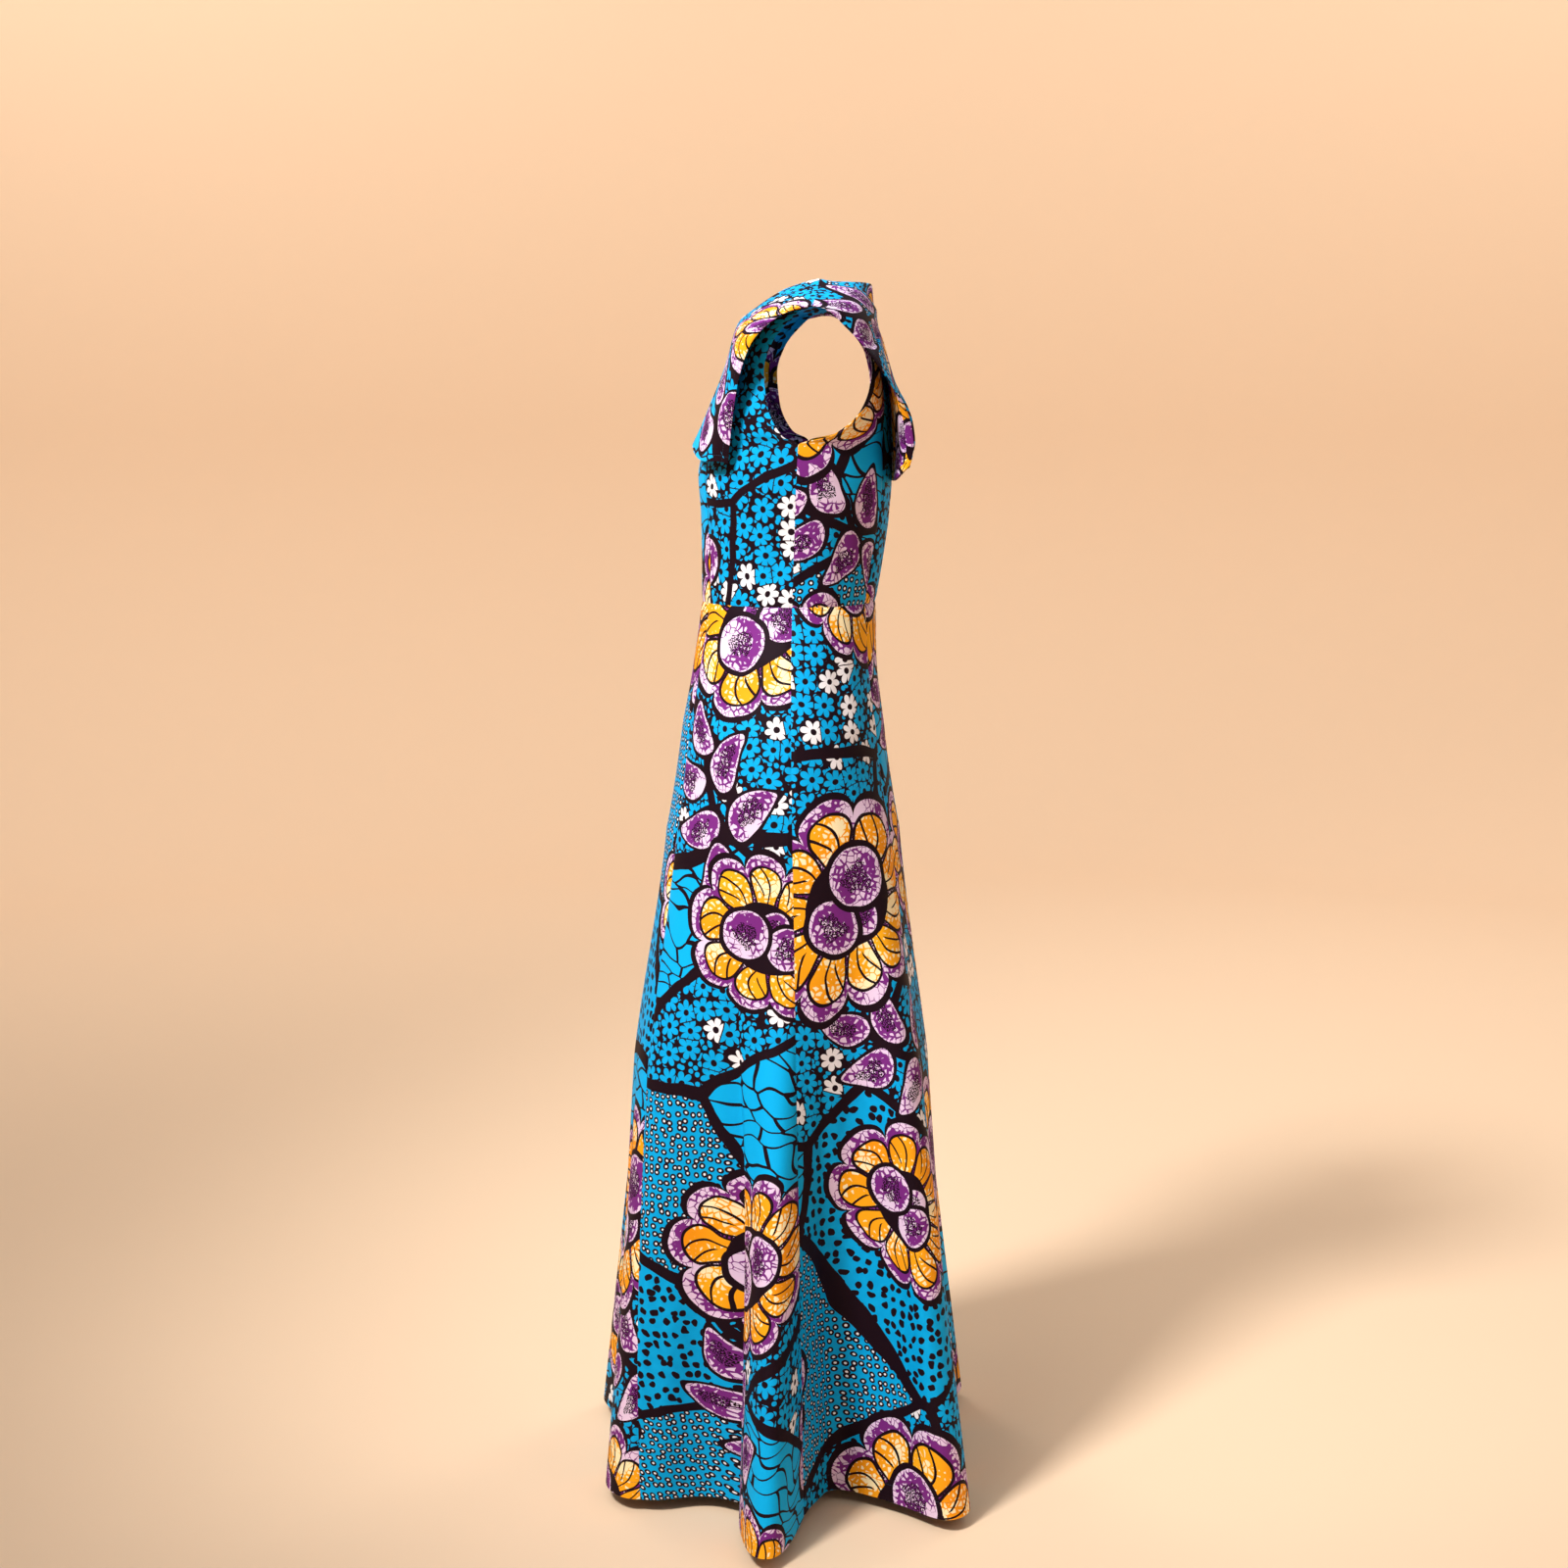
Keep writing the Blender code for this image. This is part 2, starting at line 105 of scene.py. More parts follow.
# The ground, in centimetres. Each cell has a kind from 0 to 1, and the fillings share that range.
STEM_CELL = 25.0              # across a cell
STEM_UNEVEN = 0.85
STEM_WIDTH = 0.72             # from a stem's middle to its edge
NET_FROM = 0.44               # the kinds where the leaf net, the spots and the eyed spots begin
SPOTS_FROM = 0.65
EYED_FROM = 0.83
DAISY_PITCH = 3.0
DAISY_UNEVEN = 0.62
DAISY_PETALS = 7
DAISY_REACH = 1.62
DAISY_HEART = 0.40
DAISY_GAP = 0.07
WHITE_DAISIES = 0.14          # the share of them that is white
SCRAP_PITCH = 0.95            # scraps of turquoise between the daisies
SCRAP_REACH = 0.33
SCRAPS_FROM = 1.72            # the reach from a daisy's middle where they begin
SPOT_PITCH = 1.45
SPOT_REACH = 0.46
EYED_PITCH = 1.0
EYED_REACH = 0.40
EYED_WHITE = 0.155
NET_PITCH = (2.3, 4.9)
NET_LINE = 0.063


class Ink:
    """A number worked out in the cloth's node tree, so that sums in it read as sums."""

    def __init__(self, socket):
        self.socket = socket

    def __add__(self, other):
        return maths("ADD", self, other)

    def __radd__(self, other):
        return maths("ADD", other, self)

    def __sub__(self, other):
        return maths("SUBTRACT", self, other)

    def __rsub__(self, other):
        return maths("SUBTRACT", other, self)

    def __mul__(self, other):
        return maths("MULTIPLY", self, other)

    def __rmul__(self, other):
        return maths("MULTIPLY", other, self)

    def __truediv__(self, other):
        return maths("DIVIDE", self, other)

    def __pow__(self, other):
        return maths("POWER", self, other)

    def __lt__(self, other):
        return maths("LESS_THAN", self, other)

    def __gt__(self, other):
        return maths("GREATER_THAN", self, other)


cotton = bpy.data.materials.new("wax_printed_cotton")
cotton.use_nodes = True
tree = cotton.node_tree


def feed(socket, value):
    """Gives a socket a number, a colour or a place, or joins it to the ink that makes one."""
    if isinstance(value, Ink):
        tree.links.new(value.socket, socket)
    else:
        socket.default_value = value


def maths(operation, *values):
    node = tree.nodes.new("ShaderNodeMath")
    node.operation = operation
    for socket, value in zip(node.inputs, values):
        feed(socket, value)
    return Ink(node.outputs[0])


def vectors(operation, *values, out=0):
    node = tree.nodes.new("ShaderNodeVectorMath")
    node.operation = operation
    for socket, value in zip(node.inputs, values):
        feed(socket, value)
    return Ink(node.outputs[out])


def length_of(place):
    return vectors("LENGTH", place, out=1)


def either(chosen, off, on, kind="VECTOR"):
    """The place or number "on" where chosen is 1, and "off" where it is 0."""
    node = tree.nodes.new("ShaderNodeMix")
    node.data_type = kind
    sockets = {"VECTOR": (4, 5, 1), "FLOAT": (2, 3, 0), "RGBA": (6, 7, 2)}[kind]
    feed(node.inputs[0], chosen)
    feed(node.inputs[sockets[0]], off)
    feed(node.inputs[sockets[1]], on)
    return Ink(node.outputs[sockets[2]])


def painted(under, where, colour):
    """One colour printed over another where the mask says."""
    return either(where, under, colour, "RGBA")


def split(place):
    node = tree.nodes.new("ShaderNodeSeparateXYZ")
    feed(node.inputs[0], place)
    return Ink(node.outputs[0]), Ink(node.outputs[1])


def joined(x, y):
    node = tree.nodes.new("ShaderNodeCombineXYZ")
    feed(node.inputs[0], x)
    feed(node.inputs[1], y)
    return Ink(node.outputs[0])


def noise(place, size, detail=0.0, out=0):
    """Soft random blotches about size centimetres across."""
    node = tree.nodes.new("ShaderNodeTexNoise")
    node.noise_dimensions = "2D"
    feed(node.inputs["Vector"], place)
    feed(node.inputs["Scale"], 1.0 / size)
    feed(node.inputs["Detail"], detail)
    return Ink(node.outputs[out])


def wandering(place, size, reach, detail=0.0):
    """The place moved a little, by up to about reach centimetres, so that lines drawn there bend."""
    push = vectors("SUBTRACT", noise(place, size, detail, out=1), (0.5, 0.5, 0.5))
    return vectors("MULTIPLY_ADD", push, (2 * reach, 2 * reach, 0.0), place)


def cell_pattern(place, size, uneven, feature):
    node = tree.nodes.new("ShaderNodeTexVoronoi")
    node.voronoi_dimensions = "2D"
    node.feature = feature
    feed(node.inputs["Vector"], place)
    feed(node.inputs["Scale"], 1.0 / size)
    feed(node.inputs["Randomness"], uneven)
    return node.outputs


def cells(place, size, uneven):
    """Random cells about size centimetres across: the distance to the nearest cell's middle, that
    cell's colour, and its middle."""
    made = cell_pattern(place, size, uneven, "F1")
    return Ink(made["Distance"]) * size, Ink(made["Color"]), Ink(made["Position"])


def cell_edges(place, size, uneven):
    """The distance to the nearest line between such cells."""
    return Ink(cell_pattern(place, size, uneven, "DISTANCE_TO_EDGE")["Distance"]) * size


def seen_from(place, motif):
    """A place as seen from a motif: from its middle, turned and scaled with it."""
    node = tree.nodes.new("ShaderNodeMapping")
    node.vector_type = "TEXTURE"
    feed(node.inputs["Vector"], place)
    size = motif.long if isinstance(motif, Leaf) else motif.size
    node.inputs["Location"].default_value = (motif.x, motif.y, 0.0)
    node.inputs["Rotation"].default_value = (0.0, 0.0, math.radians(motif.turn))
    node.inputs["Scale"].default_value = (size, size, 1.0)
    return Ink(node.outputs[0])


def from_nearest(place, motifs):
    """A place as seen from the nearest of the motifs, which come again with the repeat."""
    local = (0.0, 0.0, 0.0)
    nearest = FAR_OFF
    half = (REPEAT[0] / 2, REPEAT[1] / 2, 1.0)
    x, y = split(place)
    level = joined(x, y - DROP * x)    # with the half drop taken out
    for motif in motifs:
        away = vectors("SUBTRACT", level, (motif.x, motif.y - DROP * motif.x, 0.0))
        x, y = split(vectors("WRAP", away, half, tuple(-side for side in half)))
        seen = seen_from(joined(x, y + DROP * x), motif._replace(x=0.0, y=0.0))
        reach = length_of(seen)
        local = either(reach < nearest, local, seen)
        nearest = maths("MINIMUM", reach, nearest)
    return local


def ground(place, ragged):
    """Cells of the ground between thick dark stems, each with its own filling."""
    bent = wandering(place, size=26.0, reach=6.5)
    _, cell_colour, _ = cells(bent, STEM_CELL, STEM_UNEVEN)
    stem = cell_edges(bent, STEM_CELL, STEM_UNEVEN) < STEM_WIDTH
    kind, _ = split(cell_colour)

    blue = painted(TURQUOISE, noise(place, size=1.4, detail=1.0), TURQUOISE_WORN)

    # Daisies on dark, a few of them white.
    _, daisy_colour, middle = cells(place, DAISY_PITCH, DAISY_UNEVEN)
    chance, spin = split(daisy_colour)
    off = vectors("SUBTRACT", place, middle)
    dx, dy = split(off)
    reach = length_of(joined(dx, dy))
    angle = maths("ARCTAN2", dy, dx) + spin * math.pi
    lobes = maths("ABSOLUTE", maths("COSINE", angle * (DAISY_PETALS / 2)))
    petal = (reach < DAISY_REACH * (0.30 + 0.70 * lobes ** 0.50)) * (reach > DAISY_HEART)
    petal = petal * (cell_edges(place, DAISY_PITCH, DAISY_UNEVEN) > DAISY_GAP)
    scrap, _, _ = cells(place, SCRAP_PITCH, uneven=0.9)
    scraps = (scrap < SCRAP_REACH) * (reach > SCRAPS_FROM)
    daisy = painted(AUBERGINE, maths("MAXIMUM", petal, scraps), blue)
    daisy = painted(daisy, petal * (chance > 1.0 - WHITE_DAISIES), WHITE)

    # Dark spots a little ragged, and finer ones with a white eye.
    spot, _, _ = cells(ragged, SPOT_PITCH, uneven=0.55)
    spots = painted(blue, spot < SPOT_REACH, AUBERGINE)
    eyed, _, _ = cells(place, EYED_PITCH, uneven=0.50)
    eyes = painted(blue, eyed < EYED_REACH, AUBERGINE)
    eyes = painted(eyes, eyed < EYED_WHITE, WHITE)

    # Leaf net: long cells of dark lines on plain turquoise.
    wave_x, wave_y = split(wandering(place, size=6.0, reach=2.2))
    leaning = joined(wave_x / NET_PITCH[1] + wave_y * 0.16, wave_y / NET_PITCH[0])
    net = painted(TURQUOISE_WORN, cell_edges(leaning, size=1.0, uneven=0.55) < NET_LINE, AUBERGINE)

    filling = painted(daisy, kind > NET_FROM, net)
    filling = painted(filling, kind > SPOTS_FROM, spots)
    filling = painted(filling, kind > EYED_FROM, eyes)
    return painted(filling, stem, AUBERGINE)


# What the wax leaves: fine white cells where it cracked, dark flecks, and soft patches of both.
Wax = namedtuple("Wax", "cracks patches flecks blotches")


def crackled(wax, more):
    """Where the wax's cracks have left the cloth pale: in more of it as more grows."""
    return wax.cracks > 0.95 * wax.patches - more


def purple_cloth(wax, depth):
    """Crackled purple, whiter at its rim and speckled dark at its core. depth: 0 core, 1 rim."""
    colour = painted(PURPLE, crackled(wax, 0.28), LILAC)
    core = (depth + wax.blotches * 0.6) < 0.82
    colour = painted(colour, core * (wax.flecks > 0.47), AUBERGINE)
    rim = (depth + wax.blotches * 0.35) > 1.06
    return painted(colour, rim * (wax.cracks > 0.045), LILAC)


def with_sprays(under, place, wax):
    """Curved stems with leaves on both sides, each leaf with its dark edge over those before it."""
    local = from_nearest(place, SPRAYS)
    x, y = split(local)
    stem = maths("ABSOLUTE", x - SPRAY_BEND * y * y) < SPRAY_STEM
    under = painted(under, stem * (maths("ABSOLUTE", y) < SPRAY_REACH), AUBERGINE)
    top = FAR_OFF
    for leaf in LEAVES:
        x, y = split(seen_from(local, leaf))
        across = (y + LEAF_BEND * x * x) / ((1.0 - 0.36 * x) * leaf.wide)
        depth = length_of(joined(x, across))
        top = either(depth < 1.0 + LEAF_EDGE, top, depth, "FLOAT")
    shown = painted(under, top < 1.0 + LEAF_EDGE, AUBERGINE)
    return painted(shown, top < 1.0, purple_cloth(wax, top))


def with_blooms(under, place, wax):
    """Blooms: orange petals with dark veins in a scalloped purple border, round a dark eye that
    holds the purple discs."""
    local = from_nearest(place, BLOOMS)
    x, y = split(local)
    rounder = joined(x, y / OVAL)
    angle = maths("ARCTAN2", y / OVAL, x)
    swell = 1.0 + 0.07 * maths("SINE", angle + 2.2) + 0.05 * maths("SINE", angle * 3.0)
    reach = length_of(rounder) / swell

    # side runs from -1 to 1 across each petal; along from the middle of the petal to its tip.
    half = math.pi / PETALS
    uneven = angle + 0.24 * maths("SINE", angle + 0.6) + 0.10 * maths("SINE", angle * 2.0)
    side = maths("WRAP", uneven, half, -half) / half
    along = (reach - PETAL_MIDDLE) / PETAL_REACH
    egg = length_of(joined(maths("MAXIMUM", along, along * -0.50), side))
    dome = maths("SQRT", 1.0 - side * side)
    scallop = SCALLOP + SCALLOP_RISE * dome

    vein = maths("ABSOLUTE", side + 0.30 - 0.42 * (along + 0.35) ** 2.0) < VEIN
    other_vein = maths("ABSOLUTE", side - 0.62 * along - 0.45) < VEIN
    petal = painted(ORANGE, noise(place, size=9.0), YELLOW)
    petal = painted(petal, crackled(wax, 0.25), CREAM)
    petal = painted(petal, maths("MAXIMUM", vein, other_vein * (side > 0.1)), AUBERGINE)

    colour = painted(under, reach < scallop + BLOOM_EDGE, AUBERGINE)
    border = 0.50 + 0.44 * (reach - PETAL_MIDDLE) / (scallop - PETAL_MIDDLE)
    colour = painted(colour, reach < scallop, purple_cloth(wax, border))
    colour = painted(colour, egg < 1.0, AUBERGINE)
    colour = painted(colour, egg < 1.0 - PETAL_EDGE, petal)
    colour = painted(colour, reach < EYE, AUBERGINE)
    top = FAR_OFF
    for disc in DISCS:
        depth = length_of(vectors("SUBTRACT", local, (disc.x, disc.y, 0.0))) / disc.radius
        top = either(depth < 1.0 + DISC_EDGE, top, depth, "FLOAT")
    colour = painted(colour, top < 1.0 + DISC_EDGE, AUBERGINE)
    return painted(colour, top < 1.0, purple_cloth(wax, top))


def print_the_cotton():
    """Prints the cloth, and gives it the slight sheen that the wax finish leaves."""
    cut = tree.nodes.new("ShaderNodeUVMap")
    cut.uv_map = "cut"
    in_centimetres = vectors("MULTIPLY", Ink(cut.outputs[0]), (CM_IN_METRE,) * 3)
    place = wandering(in_centimetres, size=4.0, reach=WOBBLE, detail=1.0)
    ragged = wandering(place, size=0.9, reach=0.22)
    crack_place = wandering(place, size=1.6, reach=0.30)
    wax = Wax(cracks=cell_edges(crack_place, size=0.80, uneven=1.0),
              patches=noise(place, size=4.2, detail=1.0),
              flecks=noise(place, size=0.19, detail=1.0),
              blotches=noise(place, size=1.5, detail=1.0))

    colour = with_sprays(ground(place, ragged), place, wax)
    colour = with_blooms(colour, place, wax)

    shader = tree.nodes["Principled BSDF"]
    feed(shader.inputs["Base Color"], colour)
    shader.inputs["Roughness"].default_value = 0.62
    shader.inputs["Specular IOR Level"].default_value = 0.09


print_the_cotton()


# ==== The bodice ==============================================================================
# Seven panels of the printed cotton, shaped over the bust and the back by princess seams, joined at
# the shoulders and sides and closed by a zip hidden in the centre back seam. The armholes are turned
# in and stitched down, and the bodice ends at the waist seam.

# The front faces -Y and the wearer's left is +X, in metres.

WAIST_Z = -0.405
WAIST_HALF_WIDTH = 0.130
WAIST_SIDE_Y = -0.032
WAIST_FRONT_Y = -0.155
WAIST_BACK_Y = 0.070
PRINCESS_SHARE = 0.30         # princess seams, as a share of each quarter from centre to side
CLOTH = 0.0010                # the cotton's thickness
SHARP_FROM = math.radians(50)    # edges of the cloth that turn more than this stay sharp
SEAM_DIP = 0.0012             # how far the cloth sinks along a sewn seam, and how softly
SEAM_SOFT = 0.0035
SEAM_STOPS = (0.12, 0.3, 0.6)    # extra columns beside a seam, as shares of a column
SAME_POINT = 1e-6
BODICE_ROWS = 88
BODICE_COLUMNS = {"centre": 12, "side": 20}

# A level is a curve from its inner end (centre line or neckline) to its outer end (side seam or
# armhole). round: extra fullness halfway along; dip: how far its middle hangs; level_start: 1 where
# it leaves the centre line flat, 0 where it falls from the neckline.
Level = namedtuple("Level", "inner_x inner_y inner_z outer_x outer_y outer_z round dip level_start")
BODICE_FRONT = (
    Level(0.000, WAIST_FRONT_Y, WAIST_Z, WAIST_HALF_WIDTH, WAIST_SIDE_Y, WAIST_Z, 0.000, 0.0, 1),
    Level(0.000, -0.155, -0.345, 0.133, -0.030, -0.345, 0.001, 0.0, 1),
    Level(0.000, -0.156, -0.292, 0.139, -0.028, -0.292, 0.003, 0.0, 1),
    Level(0.000, -0.159, -0.245, 0.146, -0.026, -0.245, 0.004, 0.0, 1),
    Level(0.000, -0.152, -0.208, 0.150, -0.024, -0.203, 0.004, 0.0, 1),
    Level(0.000, -0.145, -0.184, 0.151, -0.045, -0.189, 0.003, 0.0, 1),
    Level(0.000, -0.134, -0.150, 0.149, -0.062, -0.154, 0.002, 0.0, 1),
    Level(0.000, -0.114, -0.096, 0.149, -0.066, -0.112, 0.001, 0.0, 1),
    Level(0.000, -0.104, -0.048, 0.152, -0.056, -0.078, 0.001, 0.0, 0),
    Level(0.045, -0.083, -0.036, 0.155, -0.037, -0.053, 0.001, 0.0, 0),
    Level(0.080, -0.043, -0.012, 0.158, -0.018, -0.037, 0.001, 0.0, 0),
    Level(0.097, 0.000, 0.000, 0.160, 0.000, -0.031, 0.000, 0.0, 0),
)
BODICE_BACK = (
    Level(0.000, WAIST_BACK_Y, WAIST_Z, WAIST_HALF_WIDTH, WAIST_SIDE_Y, WAIST_Z, 0.000, 0.0, 1),
    Level(0.000, 0.080, -0.345, 0.133, -0.030, -0.345, 0.001, 0.0, 1),
    Level(0.000, 0.087, -0.292, 0.139, -0.028, -0.292, 0.003, 0.0, 1),
    Level(0.000, 0.090, -0.245, 0.146, -0.026, -0.245, 0.005, 0.0, 1),
    Level(0.000, 0.089, -0.208, 0.150, -0.024, -0.203, 0.005, 0.0, 1),
    Level(0.000, 0.087, -0.181, 0.151, 0.014, -0.192, 0.004, 0.0, 1),
    Level(0.000, 0.084, -0.150, 0.150, 0.052, -0.162, 0.002, 0.0, 1),
    Level(0.000, 0.076, -0.098, 0.150, 0.065, -0.126, 0.002, 0.0, 1),
    Level(0.000, 0.067, -0.048, 0.153, 0.059, -0.092, 0.002, 0.0, 1),
    Level(0.000, 0.063, 0.000, 0.156, 0.040, -0.063, 0.001, 0.0, 0),
    Level(0.062, 0.048, 0.000, 0.159, 0.019, -0.043, 0.001, 0.0, 0),
    Level(0.097, 0.000, 0.000, 0.160, 0.000, -0.031, 0.000, 0.0, 0),
)

UNDERARM_LEVEL = 4            # where the side seam ends and the armhole begins
UNDERARM = UNDERARM_LEVEL / (len(BODICE_FRONT) - 1)

# Creases are soft troughs from one place round the body to another. turn: degrees from the front
# towards the wearer's left; tuck: how far the cloth slips that way under the fold beside it.
Crease = namedtuple("Crease", "turn z to_turn to_z width depth tuck", defaults=(0.0,))
BODICE_CREASES = (
    Crease(62, -0.400, 58, -0.325, 0.008, 0.0022),
    Crease(80, -0.402, 84, -0.300, 0.011, 0.0030),
    Crease(98, -0.398, 96, -0.338, 0.007, 0.0020),
    Crease(122, -0.402, 117, -0.290, 0.010, 0.0028),
    Crease(150, -0.398, 146, -0.318, 0.009, 0.0022),
    Crease(75, -0.232, 55, -0.262, 0.009, 0.0020),
    Crease(100, -0.236, 122, -0.270, 0.010, 0.0024),
    Crease(40, -0.385, 36, -0.330, 0.008, 0.0016),
    Crease(-58, -0.400, -60, -0.318, 0.009, 0.0024),
    Crease(-84, -0.402, -80, -0.296, 0.010, 0.0030),
    Crease(-104, -0.398, -108, -0.344, 0.008, 0.0020),
    Crease(-126, -0.402, -121, -0.285, 0.011, 0.0026),
    Crease(-152, -0.398, -149, -0.325, 0.008, 0.0020),
    Crease(-76, -0.230, -54, -0.258, 0.009, 0.0022),
    Crease(-99, -0.236, -124, -0.266, 0.010, 0.0022),
)

CREASE_FADE = 0.7             # less lets a crease start and end more suddenly

# Where on the length of cloth each panel was cut, in centimetres of the print.
BODICE_PRINT_AT = {
    "bodice_centre_front": (60, 10),
    "bodice_side_front_L": (193, 27), "bodice_side_front_R": (209, 71),
    "bodice_side_back_L": (146, 22), "bodice_side_back_R": (418, 52),
    "bodice_centre_back_L": (509, 33), "bodice_centre_back_R": (611, 84),
}

# A grid of points on a panel's outer face, its directions outwards, and its places in the cut.
Cut = namedtuple("Cut", "points outward flat")


def through(rows, place):
    """Smooth curve through a table's rows, which never swings past them; place runs from 0 at
    the first row to 1 at the last."""
    rows = np.array(rows, dtype=float)
    steps = np.diff(rows, axis=0)
    before, after = steps[:-1], steps[1:]
    same_way = before * after > 0
    slopes = np.where(same_way, 2 * before * after / np.where(same_way, before + after, 1.0), 0.0)
    slopes = np.vstack([steps[:1], slopes, steps[-1:]])
    along = np.clip(place, 0.0, 1.0) * len(steps)
    first = np.minimum(along.astype(int), len(steps) - 1)
    t = (along - first)[..., None]
    return (rows[first] * (1 + 2 * t) * (1 - t) ** 2 + slopes[first] * t * (1 - t) ** 2
            + rows[first + 1] * t ** 2 * (3 - 2 * t) + slopes[first + 1] * t ** 2 * (t - 1))


def level_surface(levels):
    """Surface of a quarter of the bodice or collar: across 0 (centre) to 1, up 0 to 1."""
    front = -1.0 if levels[0].inner_y < 0 else 1.0

    def point(across, up):
        level = Level(*np.moveaxis(through(levels, up), -1, 0))
        turn = across * math.pi / 2
        middle = np.sin(2 * turn) ** 2
        fall = level.level_start * (1 - np.cos(turn)) + (1 - level.level_start) * np.sin(turn)
        x = level.inner_x + (level.outer_x - level.inner_x) * np.sin(turn)
        y = level.outer_y + (level.inner_y - level.outer_y) * np.cos(turn)
        z = level.inner_z + (level.outer_z - level.inner_z) * fall
        x = x + level.round * middle * np.sin(turn)
        y = y + level.round * middle * np.cos(turn) * front
        z = z - level.dip * middle
        return np.stack([x, y, z], axis=-1)

    return point


def unit(directions):
    return directions / np.linalg.norm(directions, axis=-1, keepdims=True)


def outward_of(points, way):
    """Directions straight out of a grid, from the squares around each point."""
    square = way * np.cross(points[1:, 1:] - points[:-1, :-1], points[1:, :-1] - points[:-1, 1:])
    outward = np.zeros_like(points)
    outward[:-1, :-1] += square
    outward[1:, :-1] += square
    outward[:-1, 1:] += square
    outward[1:, 1:] += square
    return outward


def run_along(points, axis):
    """Length of cloth from a grid's first row or column to each of the others."""
    steps = np.linalg.norm(np.diff(points, axis=axis), axis=-1)
    start = np.zeros_like(np.take(steps, [0], axis=axis))
    return np.concatenate([start, np.cumsum(steps, axis=axis)], axis=axis)


def stops(count, sewn_start, sewn_end):
    """Places from 0 to 1 across a panel, closer together where it is sewn and dips."""
    close = np.array(SEAM_STOPS) / count
    places = [np.linspace(0, 1, count + 1)]
    if sewn_start:
        places.append(close)
    if sewn_end:
        places.append(1 - close)
    return np.unique(np.concatenate(places))


def creased(cut, creases):
    """A panel pressed in, and tucked to the side, along the creases."""
    x, y, z = np.moveaxis(cut.points, -1, 0)
    turn = np.degrees(np.arctan2(x, WAIST_SIDE_Y - y))
    radius = np.hypot(x, WAIST_SIDE_Y - y)
    press = np.zeros_like(turn)
    slip = np.zeros_like(turn)
    for crease in creases:
        across = np.radians((turn - crease.turn + 180) % 360 - 180) * radius
        up = z - crease.z
        run_x = math.radians(crease.to_turn - crease.turn) * radius
        run_z = crease.to_z - crease.z
        length = np.hypot(run_x, run_z)
        along = (across * run_x + up * run_z) / length ** 2
        off = (across * run_z - up * run_x) / length
        fade = np.sin(np.pi * np.clip(along, 0, 1)) ** CREASE_FADE
        pull = fade * np.exp(-(off / crease.width) ** 2)
        press += crease.depth * pull
        slip += crease.tuck * pull
    turn = np.radians(turn)
    round_it = np.stack([np.cos(turn), np.sin(turn), np.zeros_like(turn)], axis=-1)
    return cut._replace(points=cut.points - cut.outward * press[..., None] + round_it * slip[..., None])


def sunk(cut, ends):
    """A panel dipped along its sewn edges, which the stitching draws in."""
    press = np.zeros(cut.points.shape[:2])
    for axis, first, last in ((1, "start", "end"), (0, "first row", "last row")):
        run = run_along(cut.points, axis)
        whole = np.take(run, [-1], axis=axis)
        if first in ends:
            press = np.maximum(press, np.exp(-(run / SEAM_SOFT) ** 2))
        if last in ends:
            press = np.maximum(press, np.exp(-((whole - run) / SEAM_SOFT) ** 2))
    return cut._replace(points=cut.points - cut.outward * (SEAM_DIP * press)[..., None])


def flat_places(points, middle, way):
    """Each point's place in the flat cut: across from the middle column, and up it."""
    across = run_along(points, 1)
    across = (across - across[:, [middle]]) * way
    up = run_along(points, 0)[:, [middle]]
    return np.stack([across, np.broadcast_to(up, across.shape)], axis=-1)


def quarter(levels, way, across, ups):
    """Outer points of a quarter of the bodice or the collar, with their directions outwards. way:
    1 for the front, -1 for the back."""
    points = level_surface(levels)(*np.meshgrid(across, ups))
    outward = outward_of(points, way)
    outward[points[:, 0, 0] == 0, 0, 0] = 0    # the centre line faces straight ahead
    return points, unit(outward)


def on_the_right(cut):
    mirror = np.array([-1.0, 1.0, 1.0])
    return Cut(cut.points * mirror, cut.outward * mirror, cut.flat * np.array([-1.0, 1.0]))


